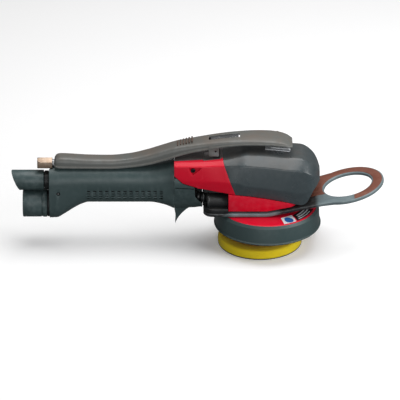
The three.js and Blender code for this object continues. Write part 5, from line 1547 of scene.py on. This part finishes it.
# Plate with the front loop
@dataclass
class LoopPlate:
    """The plate under the head that ends in the front loop, and the loop's grip pad."""

    shop: Workshop
    half_width: float = 46.0
    rear: float = -84.0
    corner: float = 14.0
    bend: float = 10.0
    pitch: float = math.radians(12.5)
    low: float = 62.9
    high: float = 67.9
    loop_reach: float = 129.0
    outer: float = 54.0
    inner: float = 36.0
    axis_x: float = 5.0
    cup: float = 36.0

    @property
    def centre(self) -> float:
        """Loop centre, measured along the plate from its bend."""
        return (self.loop_reach - self.bend) / math.cos(self.pitch)

    def outline(self, inset: float, start: float | None = None) -> list[Flat]:
        """Outline of the plate laid flat, or of its loop alone from a start line.

        Args:
            inset: How much smaller it is.
            start: Line from which the loop alone is kept.

        Returns:
            The corners.
        """
        width, radius = self.half_width - inset, self.outer - inset
        meet = math.degrees(math.acos(min(0.9999, width / radius)))
        middle = (self.bend + self.centre, 0)
        loop = arc(middle, radius, -90 - meet, 90 + meet, 72)
        waist = 12.0
        join = middle[0] - radius * math.sin(math.radians(meet)) - waist
        loop = [(join, -width), *loop[2:-2], (join, width)]
        if start is not None:
            return [(start, -width), *loop, (start, width)]
        corner, inner = self.rear + self.corner, self.half_width - self.corner
        rear = arc((corner, inner), self.corner, 90, 180, 12) + arc((corner, -inner), self.corner, 180, 270,
                                                                    12)
        return [*loop, *rear]

    def bent(self, obj: Shape) -> Shape:
        """Bends a flat piece upwards ahead of the bend line, over a short curve.

        Args:
            obj: Piece to bend.

        Returns:
            The same piece.
        """
        work = bmesh.new()
        work.from_mesh(obj.data)
        soft = 5.0
        for k in range(-3, 4):
            spot = (self.bend + soft * k / 3) * MM
            every = work.verts[:] + work.edges[:] + work.faces[:]
            bmesh.ops.bisect_plane(work, geom=every, plane_co=(spot, 0, 0), plane_no=(1, 0, 0))
        slope = math.tan(self.pitch)
        for v in work.verts:
            s, z = v.co.x / MM - self.bend, v.co.z / MM - self.high
            if s <= -soft:
                continue
            share = min(1.0, (s + soft) / (2 * soft))
            angle = self.pitch * share
            rise = slope * soft * share * share if s < soft else slope * s * math.cos(self.pitch)
            run = s if s < soft else s * math.cos(self.pitch) + soft * (1 - math.cos(self.pitch))
            v.co.x = (self.bend + run - z * math.sin(angle)) * MM
            v.co.z = (self.high + rise + z * math.cos(angle)) * MM
        work.to_mesh(obj.data)
        work.free()
        return obj

    def build(self) -> None:
        """Makes and dresses the plate and its pad."""
        middle = (self.bend + self.centre, 0)
        hole = arc(middle, self.inner, 0, 355, 71)
        cup = arc((self.axis_x, 0), self.cup, 0, 355, 71)
        base = plate("loop_plate_body", [self.outline(0), hole, cup], self.low, self.high, 1.4)
        finish_edges(self.bent(base), 0, 2, 50)
        # The plate's material paints shadow behind the neck and under the cover's nose.
        self.shop.dress(base, "loop plastic", "loop", Body.HOUSING, "loop_plate")
        pad = self._pad_outline(2.2)
        grip = plate("loop_grip_pad", [pad, arc(middle, self.inner + 2.2, 0, 355, 71)], self.high - 0.8,
                     self.high + 0.55, 0.5)
        rest = box_tool((middle[0] - 70, -60, self.high - 4), (middle[0] + 9, -17, self.high + 4))
        carve(grip, [rest])
        finish_edges(self.bent(grip), 0, 2, 50)
        self.shop.dress(grip, "grip rubber", "grip", Body.HOUSING, "loop_grip")

    def _pad_outline(self, inset: float) -> list[Flat]:
        """Outline of the grip pad round the loop."""
        return self.outline(inset, self.bend + self.centre - 60 + inset)


# Hood and pad
@dataclass
class Hood:
    """Dust hood: skirt, red disc and its plain labels."""

    shop: Workshop
    centre_x: float = 11.0
    low: float = 32.5
    high: float = 61.5
    radius: float = 79.0
    taper: float = 3.0
    wall: float = 3.0
    dome: float = 1.4
    axis_x: float = 5.0
    label_side: float = -90.0
    lower_lift: float = 0.12
    upper_lift: float = 0.2
    square: tuple[Flat, ...] = ((22, 22), (3.2, 20), (3.2, 37), (22, 43))
    strip: tuple[Flat, ...] = ((20, 44.5), (3.2, 38.5), (3.2, 75), (20, 77))
    bars: tuple[tuple[float, float, float, float], ...] = ((16.6, 2.2, 48, 73), (11.8, 2.2, 46, 73),
                                                           (7.0, 1.4, 43, 70))
    spot_middle: Flat = (12.0, 30.4)
    spot_reach: float = 8.2
    spot_width: float = 6.3

    def build(self) -> None:
        """Makes and dresses every piece."""
        r, lo, hi, top = self.radius, self.low, self.high, self.radius - self.taper
        outside = [(r - 1.0, lo), (r + 0.2, lo + 0.5), (r + 0.3, lo + 1.7), (r - 0.5, lo + 2.4),
                   (r - 1.4, lo + 2.6),
                   (r - 1.5, lo + 3.6), (top + 0.5, hi - 3.6), (top - 0.1, hi - 2.9),
                   (top - 2.3, hi - 0.5), (top - 2.6, hi)]
        inside = [(top - self.wall, hi), (top - self.wall, hi - 2), (r - self.wall - 0.6, lo + 3),
                  (r - self.wall, lo + 0.6)]
        skirt = lathe("hood_skirt_ring", outside + inside, (self.centre_x, 0, 0), Axis.Z, 160)
        finish_edges(skirt, 0.25, 2, 24)
        self.shop.dress(skirt, "slate plastic", "slate", Body.HOUSING, "hood_skirt")
        rim = top - self.wall - 0.4
        flat, under = 36.0, hi - 3.4
        profile = [(0, under + self.dome), (flat, under + self.dome), (rim, under), (rim, hi - 0.9),
                   (rim - 0.8, hi - 0.15),
                   (rim - 4, hi + 0.1), (flat, hi + self.dome - 0.4), (0, hi + self.dome - 0.4)]
        disc = lathe("hood_disc_dome", profile, (self.centre_x, 0, 0), Axis.Z, 128)
        shaft = lathe("tool", [(0, 0), (10, 0), (10, 200), (0, 200)], (self.axis_x, 0, 0), Axis.Z, 48)
        carve(disc, [shaft])
        finish_edges(disc, 0, 2, 50)
        self.shop.dress(disc, "red plastic", "red", Body.HOUSING, "hood_disc")
        self._labels(rim)

    def _sticker(self, name: str, outline: Sequence[Flat], lift: float) -> Shape:
        """Lays a thin sticker on the disc.

        Args:
            name: Name of the sticker.
            outline: Its corners as (radius, degrees) about the hood's centre.
            lift: Height of its face above the disc.

        Returns:
            The sticker.
        """
        rim, flat = self.radius - self.taper - self.wall - 0.4, 36.0
        points, faces = [], []
        fine: list[Flat] = []
        for i, (r0, a0) in enumerate(outline):
            r1, a1 = outline[(i + 1) % len(outline)]
            fine += [(r0 + (r1 - r0) * k / 6, a0 + (a1 - a0) * k / 6) for k in range(6)]
        slope = (self.dome - 0.4 - 0.1) / (rim - 4 - flat)
        for part in (-0.3, lift):
            for r, a in fine:
                z = self.high + 0.1 + (rim - 4 - r) * slope + part
                points.append((self.centre_x + r * math.cos(math.radians(a)), r * math.sin(math.radians(a)),
                               z))
        n = len(fine)
        faces = [tuple(range(n)), tuple(range(2 * n - 1, n - 1, -1))]
        faces += [(i, (i + 1) % n, (i + 1) % n + n, i + n) for i in range(n)]
        made = mesh_object(name, points, faces)
        return finish_edges(made, 0, 2, 50)

    def _labels(self, rim: float) -> None:
        """A white square with a blue disc, and a dark strip with light bars; none carries lettering.

        Args:
            rim: Radius of the disc's outer edge, from which the labels are set inwards.
        """
        near = self.label_side
        square = [(rim - inward, near + turn) for inward, turn in self.square]
        strip = [(rim - inward, near + turn) for inward, turn in self.strip]
        for name, finish, corners, lift in (
                ("label_square", "label white", square, self.lower_lift),
                ("label_spot", "label blue", self._spot_outline(rim, near), self.upper_lift),
                ("label_strip", "label black", strip, self.lower_lift)):
            self.shop.dress(self._sticker(name, corners, lift), finish, None, Body.HOUSING)
        for k, (inner, thick, start, stop) in enumerate(self.bars):
            bar = self._sticker(f"label_bar_{k + 1}", [
                (rim - inner, near + start), (rim - inner + thick, near + start),
                (rim - inner + thick, near + stop), (rim - inner, near + stop)], self.upper_lift)
            self.shop.dress(bar, "label white", None, Body.HOUSING)

    def _spot_outline(self, rim: float, near: float) -> list[Flat]:
        """Outline of the round spot on the square label.

        Args:
            rim: Radius of the disc's outer edge.
            near: Direction of the near side, in degrees.

        Returns:
            Corners as (radius, degrees) about the hood's centre.
        """
        inward, turn = self.spot_middle
        middle = (rim - inward, near + turn)
        return [(middle[0] + self.spot_reach * y, middle[1] + math.degrees(self.spot_width * x / middle[0]))
                for x, y in arc((0, 0), 1.0, 0, 348, 30)]


@dataclass
class SandingPad:
    """Foam pad, its hook face and the backing plate."""

    shop: Workshop
    hook_count: int = 2600

    def build(self) -> None:
        """Makes and dresses every piece."""
        foam, hook = Extent.of("pad_foam"), Extent.of("hook_face")
        r, lo, hi = foam.high.x, foam.low.z, foam.high.z
        backing = Extent.of("backing_plate")
        inner = backing.high.x + 0.4
        side = [(r - 0.9, lo), (r - 0.25, lo + 0.8), (r, lo + 3.4), (r - 0.15, lo + 7.5), (r - 0.9, hi - 2.4),
                (r - 2.6, hi - 0.6), (r - 5.2, hi - 0.05)]
        rows = [(float(a), float(b)) for a,
                b in ((q[1], q[0]) for q in eased([(z, rr) for rr, z in side], 4))]
        profile = [(0, lo), (r * 0.5, lo), *rows, (inner + 9, hi), (inner + 0.8, hi - 0.1),
                   (inner, hi - 0.8), (inner, hi - 2.2), (0, hi - 2.2)]
        body = lathe("pad_foam_body", profile, (0, 0, 0), Axis.Z, 192)
        rng = np.random.default_rng(7)
        waves = [(int(k), float(p), float(s)) for k, p,
                 s in zip(rng.integers(3, 17, 9), rng.uniform(0, 6.28, 9),
                                                                rng.uniform(0.02, 0.07, 9))]
        for v in body.data.vertices:
            x, y, z = v.co / MM
            reach = math.hypot(x, y)
            if reach < r * 0.8:
                continue
            a = math.atan2(y, x)
            dent = sum(s * (1 + math.sin(k * a + p + 0.3 * z)) for k, p, s in waves) * 0.35
            v.co.x -= math.cos(a) * dent * MM
            v.co.y -= math.sin(a) * dent * MM
        finish_edges(body, 0, 2, 60)
        self.shop.dress(body, "yellow foam", "foam", Body.PAD, "pad_foam")
        top = hook.high.z
        base = [(0, 0.55), (r - 1.1, 0.55), (r - 0.5, 0.8), (r - 0.35, 1.1), (r - 0.5, top - 0.05),
                (r - 1.2, top), (0, top)]
        sheet = lathe("hook_face_backing", base, (0, 0, 0), Axis.Z, 160)
        finish_edges(sheet, 0, 2, 60)
        self.shop.dress(sheet, "hook fabric", "hook", Body.PAD, "hook_face")
        hooks = grow("hook_stubs", self._hook_tree(),
                     {"Radius": (r - 1.4) * MM, "Count": self.hook_count, "Seed": 3})
        self.shop.dress(hooks, "hook fabric", "hook", Body.PAD)
        plate_piece = softened("backing_plate", 0.4, 2, 30)
        plate_piece.name = "backing_plate_disc"
        self.shop.dress(plate_piece, "black rubber", "black", Body.PAD, "backing_plate")

    def _hook_tree(self) -> Tree:
        """Many small mushroom stubs under the hook face.

        Returns:
            The tree.
        """
        work, start, end = group("Hook stubs", GEOMETRY_GROUP,
                                 [Socket("Radius", FLOAT, 0.06), Socket("Count", "NodeSocketInt", 2000),
                                  Socket("Seed", "NodeSocketInt", 3)], [Socket("Geometry", GEOMETRY)])
        out = start.outputs
        face = work.node("GeometryNodeMeshCircle", {"Vertices": 96, "Radius": out["Radius"]},
                         fill_type="NGON")
        count = work.math("DIVIDE", out["Count"], math.pi)
        square = work.math("MULTIPLY", out["Radius"], out["Radius"])
        density = work.math("DIVIDE", count, square)
        spots = work.node("GeometryNodeDistributePointsOnFaces", {"Mesh": face.outputs[0], "Density": density,
                                                                  "Seed": out["Seed"]})
        stem = work.node("GeometryNodeMeshCone", {"Vertices": 5, "Radius Top": 0.00016,
                                                  "Radius Bottom": 0.00034, "Depth": 0.00055})
        placed = work.node("GeometryNodeInstanceOnPoints",
                           {"Points": spots.outputs[0], "Instance": stem.outputs[0]})
        real = work.node("GeometryNodeRealizeInstances", {0: placed.outputs[0]})
        dressed = work.node("GeometryNodeSetMaterial", {"Geometry": real.outputs[0],
                                                        "Material": self.shop.materials["hook fabric"]})
        lifted = work.node("GeometryNodeTransform",
                           {"Geometry": dressed.outputs[0], "Translation": (0, 0, 0.00003)})
        work.link(lifted.outputs[0], end.inputs[0])
        return work


# Dust duct and rear ports
@dataclass
class DustDuct:
    """Duct on the plate with its foot, the ribbed elbow behind it and the neck housing."""

    shop: Workshop
    y: float = -26.5
    z: float = 80.3
    radius: float = 12.0
    wall: float = 2.0
    rear: float = -78.0
    front: float = -36.0
    foot_low: float = 68.3
    foot_high: float = 74.7
    foot_edge: float = 44.4
    foot_rear: float = -82.4
    foot_front: float = -47.4
    elbow_y: float = -22.0
    elbow_z: float = 83.9
    elbow_radius: float = 7.3
    elbow_end: Space = (-115.0, 0.0, 81.6)
    folds: int = 8
    boot_radius: float = 12.2

    def build(self) -> None:
        """Makes and dresses every piece."""
        corner = 12.4
        rear = arc((self.foot_rear + corner, self.foot_edge - corner), corner, 90, 180, 10)
        rear += arc((self.foot_rear + corner, corner - self.foot_edge), corner, 180, 270, 10)
        outline = [(self.foot_front, -self.foot_edge), (self.foot_front, self.foot_edge), *rear]
        duct = plate("dust_duct_body", [outline], self.foot_low, self.foot_high, 1.0)
        r, far, near = self.radius, self.rear, self.front
        seat = lathe("tool", [(0, -300), (8.9, -300), (8.9, self.rear), (0, self.rear)],
                     (0, self.elbow_y, self.elbow_z), Axis.X, 40)
        carve(duct, [seat])
        profile = [(0, far), (r + 0.7, far), (r + 1.0, far + 0.5), (r + 1.0, far + 2.6),
                   (r + 0.4, far + 3.2), (r, far + 4), (r, near - 0.5), (r - 0.5, near), (0, near)]
        barrel = lathe("tool", profile, (0, self.y, self.z), Axis.X, 72)
        carve(duct, [barrel], "UNION")
        bore_radius = r - self.wall
        bore = lathe("tool", [(0, far - 1), (bore_radius, far - 1), (bore_radius, FAR), (0, FAR)],
                     (0, self.y, self.z), Axis.X, 48)
        carve(duct, [bore])
        finish_edges(duct, 0.25, 2, 45)
        self.shop.dress(duct, "hose plastic", "black", Body.HOUSING, "dust_duct")
        elbow = grow("dust_elbow_bellows", self._bellows_tree(), {
            "Start": (self.rear * MM - 0.0004, self.elbow_y * MM, self.elbow_z * MM),
            "End": tuple(c * MM for c in self.elbow_end), "Reach": 15 * MM, "Radius": self.elbow_radius * MM,
            "Folds": float(self.folds), "Depth": 0.09})
        self.shop.dress(elbow, "hose plastic", "black", Body.HOUSING, "dust_elbow")
        tube, rim, thick = self.elbow_radius - 0.8, self.boot_radius, 2.4
        front = self.rear - 4.7
        profile = [(tube, front - thick), (rim - 0.5, front - thick), (rim, front - thick + 0.5),
                   (rim, front - 0.5), (rim - 0.5, front), (tube, front), (tube, front - thick)]
        boot = lathe("dust_elbow_boot", profile, (0, self.elbow_y, self.elbow_z), Axis.X, 64)
        finish_edges(boot, 0, 2, 50)
        self.shop.dress(boot, "hose plastic", "black", Body.HOUSING)
        neck = softened("neck_housing", 0.7, 3, 30)
        neck.name = "neck_housing_shell"
        self.shop.dress(neck, "red plastic", "red", Body.HOUSING, "neck_housing")

    def _bellows_tree(self) -> Tree:
        """Folded hose along a curve between two points.

        Returns:
            The tree.
        """
        work, start, end = group("Bellows hose", GEOMETRY_GROUP,
                                 [Socket("Start", VECTOR), Socket("End", VECTOR),
                                  Socket("Reach", FLOAT, 0.015), Socket("Radius", FLOAT, 0.007),
                                  Socket("Folds", FLOAT, 8.0), Socket("Depth", FLOAT, 0.08)],
                                 [Socket("Geometry", GEOMETRY)])
        out = start.outputs
        back = work.node("ShaderNodeCombineXYZ", {0: work.math("MULTIPLY", out["Reach"], -1.0)})
        ahead = work.node("ShaderNodeCombineXYZ", {0: out["Reach"]})
        first = work.node("ShaderNodeVectorMath", {0: out["Start"], 1: back.outputs[0]}, operation="ADD")
        last = work.node("ShaderNodeVectorMath", {0: out["End"], 1: ahead.outputs[0]}, operation="ADD")
        line = work.node("GeometryNodeCurvePrimitiveBezierSegment",
                         {"Start": out["Start"], "Start Handle": first.outputs[0],
                          "End Handle": last.outputs[0], "End": out["End"], "Resolution": 64})
        dense = work.node("GeometryNodeResampleCurve", {"Curve": line.outputs[0], "Count": 97})
        place = work.node("GeometryNodeSplineParameter")
        turn = work.math("MULTIPLY", work.math("MULTIPLY", place.outputs["Factor"], out["Folds"]),
                         2 * math.pi)
        wave = work.math("COSINE", turn)
        swell = work.math("ADD", 1.0, work.math("MULTIPLY", wave, out["Depth"]))
        sized = work.node("GeometryNodeSetCurveRadius", {"Curve": dense.outputs[0], "Radius": swell})
        ring = work.node("GeometryNodeCurvePrimitiveCircle", {"Resolution": 32, "Radius": out["Radius"]})
        tube = work.node("GeometryNodeCurveToMesh", {"Curve": sized.outputs[0],
                                                     "Profile Curve": ring.outputs[0], "Fill Caps": True})
        if "Scale" in tube.inputs:
            work.link(swell, tube.inputs["Scale"])
        real = work.node("GeometryNodeRealizeInstances", {0: tube.outputs[0]})
        return work.ended(real.outputs[0], self.shop.materials["hose plastic"], end)


@dataclass
class RearPorts:
    """Rear cap, exhaust collar and deflector, dust sleeve and stub, and the air inlet."""

    shop: Workshop
    exhaust_radius: float = 15.0
    exhaust_wall: float = 2.4
    exhaust_cut: float = 13.0
    sleeve_wall: float = 2.6
    ridges: int = 40

    def build(self) -> None:
        """Makes and dresses every piece."""
        self._exhaust()
        self._dust_port()
        self._inlet()
        cap = softened("rear_cap", 0.5, 2, 30)
        cap.name = "rear_cap_plate"
        self.shop.dress(cap, "slate plastic", "slate", Body.HOUSING, "rear_cap")

    def _tube(self, name: str, outside: Sequence[Flat], bore: Sequence[Flat], centre: Space,
              steps: int) -> Shape:
        """Turns a tube about X from its outer and inner profiles."""
        made = lathe(name, [*outside, *reversed(list(bore))], centre, Axis.X, steps)
        return finish_edges(made, 0, 2, 46)

    def _exhaust(self) -> None:
        """Collar with a ridged ring, and the deflector with its oblique end."""
        collar, tube = Extent.of("exhaust_collar"), Extent.of("exhaust_deflector")
        axis = (0, 0, tube.middle.z)
        x0, x1 = collar.low.x, -311.4
        r = self.exhaust_radius - 1.6
        bore = self.exhaust_radius - 5
        outside = [(r - 0.6, x0), (r, x0 + 0.6), (r, x1 - 0.6), (r - 0.6, x1), (12.0, x1),
                   (12.0, collar.high.x - 0.5), (11.5, collar.high.x)]
        ring = self._tube("exhaust_collar_ring", outside, [(bore, x0), (bore, collar.high.x)], axis, 64)
        self.shop.dress(ring, "black rubber", "black", Body.HOUSING, "exhaust_collar")
        ridges = grow("exhaust_collar_ridges", self._ridge_tree(), {
            "Count": self.ridges, "Radius": r * MM, "Bar": ((x1 - x0 - 1.6) * MM, 1.25 * MM, 1.2 * MM),
            "Centre": ((x0 + x1) / 2 * MM, 0, axis[2] * MM)})
        self.shop.dress(ridges, "black rubber", "black", Body.HOUSING)
        r, wall = self.exhaust_radius, self.exhaust_wall
        rear, front = tube.low.x - 3, tube.high.x
        outside = [(r, rear), (r, front - 1), (r - 0.4, front - 0.2), (r - 1, front)]
        inside = [(r - wall, rear), (r - wall, front - 0.8), (r - wall + 0.5, front)]
        deflector = self._tube("exhaust_deflector_tube", outside, inside, axis, 96)
        lo, hi = tube.low.z, tube.high.z
        back = tube.low.x
        oblique = side_tool([(back, hi + 0.1), (back + self.exhaust_cut, lo - 0.1),
                             (back + self.exhaust_cut, lo - 20),
                             (-450, lo - 20), (-450, hi + 20), (back, hi + 20)])
        carve(deflector, [oblique])
        finish_edges(deflector, 0.5, 3, 50)
        self.shop.dress(deflector, "slate plastic", "slate", Body.DEFLECTOR, "exhaust_deflector")

    def _ridge_tree(self) -> Tree:
        """Ridges round a ring, along X.

        Returns:
            The tree.
        """
        work, start, end = group("Ring ridges", GEOMETRY_GROUP,
                                 [Socket("Count", "NodeSocketInt", 40), Socket("Radius", FLOAT, 0.013),
                                  Socket("Bar", VECTOR), Socket("Centre", VECTOR)],
                                 [Socket("Geometry", GEOMETRY)])
        out = start.outputs
        circle = work.node("GeometryNodeMeshCircle", {"Vertices": out["Count"], "Radius": out["Radius"]})
        upright = work.node("GeometryNodeTransform",
                            {"Geometry": circle.outputs[0], "Rotation": (0, math.pi / 2, 0)})
        spot = work.node("GeometryNodeInputPosition")
        aim = work.node("FunctionNodeAlignRotationToVector", {"Vector": spot.outputs[0]}, axis="Z",
                        pivot_axis="X")
        bar = work.node("GeometryNodeMeshCube", {"Size": out["Bar"]})
        placed = work.node("GeometryNodeInstanceOnPoints",
                           {"Points": upright.outputs[0], "Instance": bar.outputs[0],
                                                            "Rotation": aim.outputs[0]})
        real = work.node("GeometryNodeRealizeInstances", {0: placed.outputs[0]})
        moved = work.node("GeometryNodeTransform",
                          {"Geometry": real.outputs[0], "Translation": out["Centre"]})
        return work.ended(moved.outputs[0], self.shop.materials["black rubber"], end)

    def _dust_port(self) -> None:
        """Turning sleeve with a dark stop ring, and the stub it turns on."""
        sleeve, stub = Extent.of("dust_sleeve"), Extent.of("dust_stub")
        axis = (0, 0, sleeve.middle.z)
        r, rear, front = sleeve.high.y, sleeve.low.x, sleeve.high.x
        outside = [(r - 1.3, rear), (r - 0.5, rear + 0.4), (r - 0.2, rear + 1.2), (r - 0.2, front - 9),
                   (r - 0.9, front - 8.4),
                   (r - 0.9, front - 6.6), (r, front - 6), (r, front - 0.6), (r - 0.6, front)]
        inside = [(r - self.sleeve_wall, rear + 0.5), (r - self.sleeve_wall, front)]
        body = self._tube("dust_sleeve_tube", outside, inside, axis, 96)
        self.shop.dress(body, "slate plastic", "black", Body.SLEEVE, "dust_sleeve")
        bore, x0, x1 = 14.3, stub.low.x, stub.high.x
        flange = stub.high.y
        outside = [(flange - 0.5, x0), (flange, x0 + 0.5), (flange, -311.9), (flange - 0.5, -311.4),
                   (16.3, -311.4), (16.3, x1 - 0.6), (15.7, x1)]
        piece = self._tube("dust_stub_ring", outside, [(bore, x0), (bore, x1)], axis, 80)
        self.shop.dress(piece, "black rubber", "slate", Body.HOUSING, "dust_stub")

    def _inlet(self) -> None:
        """Brass hexagon with a threaded bore."""
        fitting = softened("inlet_fitting", 0.35, 2, 24)
        fitting.name = "inlet_fitting_hexagon"
        self.shop.dress(fitting, "brass", "brass", Body.HOUSING, "inlet_fitting")
        box = Extent.of("inlet_fitting")
        thread = grow("inlet_thread", self._thread_tree(), {
            "Count": 12, "Pitch": 1.3 * MM, "Radius": 5.5 * MM, "Wire": 0.45 * MM,
            "Start": ((box.low.x + 2.0) * MM, 0, box.middle.z * MM)})
        self.shop.dress(thread, "brass", "brass", Body.HOUSING)

    def _thread_tree(self) -> Tree:
        """Rings of a thread inside a bore along X.

        Returns:
            The tree.
        """
        work, start, end = group("Bore thread", GEOMETRY_GROUP,
                                 [Socket("Count", "NodeSocketInt", 12), Socket("Pitch", FLOAT, 0.0013),
                                  Socket("Radius", FLOAT, 0.0055), Socket("Wire", FLOAT, 0.0004),
                                  Socket("Start", VECTOR)], [Socket("Geometry", GEOMETRY)])
        out = start.outputs
        step = work.node("ShaderNodeCombineXYZ", {0: out["Pitch"]})
        line = work.node("GeometryNodeMeshLine", {"Count": out["Count"], "Start Location": out["Start"],
                                                  "Offset": step.outputs[0]})
        circle = work.node("GeometryNodeCurvePrimitiveCircle", {"Resolution": 40, "Radius": out["Radius"]})
        wire = work.node("GeometryNodeCurvePrimitiveCircle", {"Resolution": 6, "Radius": out["Wire"]})
        ring = work.node("GeometryNodeCurveToMesh",
                         {"Curve": circle.outputs[0], "Profile Curve": wire.outputs[0]})
        upright = work.node("GeometryNodeTransform",
                            {"Geometry": ring.outputs[0], "Rotation": (0, math.pi / 2, 0)})
        placed = work.node("GeometryNodeInstanceOnPoints",
                           {"Points": line.outputs[0], "Instance": upright.outputs[0]})
        real = work.node("GeometryNodeRealizeInstances", {0: placed.outputs[0]})
        return work.ended(real.outputs[0], self.shop.materials["brass"], end)


@dataclass
class InnerWorks:
    """Frame nodes inside the tool that keep their shape and get a better material."""

    shop: Workshop
    by_finish: tuple[tuple[str, tuple[str, ...]], ...] = (
        ("steel", ("crank_shaft", "spindle_bearing", "pad_spindle", "pad_stud", "motor_liner", "rotor",
                   "lower_bearing",
                   "upper_bearing", "valve_spring")),
        ("alloy", ("lower_end_plate", "upper_end_plate", "motor_clamp_ring", "inlet_body", "valve_block",
                   "air_pipe")),
        ("brass", ("valve_plunger", "valve_plug")),
        ("laminate", ("vane_1", "vane_2", "vane_3", "vane_4", "vane_5")),
        ("hose plastic", ("exhaust_pipe", "dust_pipe")),
    )

    def build(self) -> None:
        """Dresses every inner node."""
        for material, nodes in self.by_finish:
            for node in nodes:
                self.shop.dress_node(node, material)


# Studio
@dataclass
class Studio:
    """Floor, light and camera."""

    target: Space = (-0.0888, 0.0, 0.0681)
    elevation: float = 27.0
    distance: float = 6.0
    lens: float = 364.9
    ambient: float = 0.14
    lamp_aim: Space = (-0.05, 0, 0.08)
    floor_half: float = 9000
    floor_bounce: float = 0.16
    floor_glow: float = 0.16

    def build(self) -> None:
        """Makes the floor, the lamps, the world and the camera."""
        self._floor()
        self._lamp("top softbox", (0.1, 0.2, 1.6), 1.5, 24.0)
        self._lamp("right softbox", (1.25, -0.6, 0.8), 0.9, 13.0)
        self._lamp("front fill", (-0.1, -1.8, 0.36), 1.2, 10.5)
        world = bpy.data.worlds.new("studio")
        world.use_nodes = True
        work = Tree(world.node_tree)
        sky = next(n for n in world.node_tree.nodes if n.type == "BACKGROUND")
        sky.inputs["Color"].default_value = (1.0, 1.0, 1.0, 1.0)
        seen = work.node("ShaderNodeLightPath").outputs["Is Camera Ray"]
        work.link(work.ramp(seen, 0, 1, self.ambient, 1.0), sky.inputs["Strength"])
        bpy.context.scene.world = world
        view = bpy.context.scene.view_settings
        view.view_transform = "Standard"
        view.look = "None"
        camera = bpy.data.cameras.new("camera")
        camera.lens = self.lens
        camera.sensor_width = 36.0
        camera.clip_start, camera.clip_end = 0.05, 60.0
        holder = bpy.data.objects.new("camera", camera)
        bpy.context.scene.collection.objects.link(holder)
        tilt = math.radians(self.elevation)
        back = Vector((0, -math.cos(tilt), math.sin(tilt)))
        holder.location = Vector(self.target) + back * self.distance
        holder.rotation_euler = (-back).to_track_quat("-Z", "Y").to_euler()
        bpy.context.scene.camera = holder

    def _lamp(self, name: str, place: Space, size: float, power: float) -> None:
        """Adds a soft square lamp that looks at the object.

        Args:
            name: Name of the lamp.
            place: Its place, in metres.
            size: Its side, in metres.
            power: Its power, in watts.
        """
        lamp = bpy.data.lights.new(name, "AREA")
        lamp.shape = "SQUARE"
        lamp.size = size
        lamp.energy = power
        holder = bpy.data.objects.new(name, lamp)
        bpy.context.scene.collection.objects.link(holder)
        holder.location = place
        aim = Vector(self.lamp_aim) - Vector(place)
        holder.rotation_euler = aim.to_track_quat("-Z", "Y").to_euler()

    def _floor(self) -> None:
        """Adds the pale floor."""
        far = self.floor_half
        floor = mesh_object("floor", [(-far, -far, 0), (far, -far, 0), (far, far, 0), (-far, far, 0)],
                            [(0, 1, 2, 3)])
        material = bpy.data.materials.new("pale floor")
        material.use_nodes = True
        work = Tree(material.node_tree)
        shader = next(n for n in material.node_tree.nodes if n.type == "BSDF_PRINCIPLED")
        place = work.node("ShaderNodeTexCoord").outputs["Object"]
        cloud = work.node("ShaderNodeTexNoise", {"Vector": place, "Scale": 3.0, "Detail": 3.0})
        pale = work.mix(cloud.outputs["Fac"], (0.9, 0.9, 0.905, 1), (0.93, 0.93, 0.93, 1))
        seen = work.node("ShaderNodeLightPath").outputs["Is Camera Ray"]
        tone = work.mix(seen, (*[self.floor_bounce] * 3, 1), pale)
        work.link(tone, shader.inputs["Base Color"])
        glow = work.mix(seen, (0.0, 0.0, 0.0, 1), (1.0, 1.0, 1.0, 1))
        work.link(glow, shader.inputs["Emission Color"])
        shader.inputs["Emission Strength"].default_value = self.floor_glow
        shader.inputs["Roughness"].default_value = 0.9
        shader.inputs["Specular IOR Level"].default_value = 0.1
        floor.data.materials.append(material)


def main() -> None:
    """Builds every part of the sander around the frame."""
    logging.basicConfig(level=logging.INFO, format="%(message)s")
    for old in list(bpy.data.objects):
        bpy.data.objects.remove(old, do_unlink=True)
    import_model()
    Studio().build()
    shop = Workshop()
    for part in (Hood(shop), SandingPad(shop), LoopPlate(shop), DustDuct(shop), RearPorts(shop), Handle(shop),
                 Lever(shop), Head(shop), InnerWorks(shop)):
        part.build()


if __name__ == "__main__":
    main()
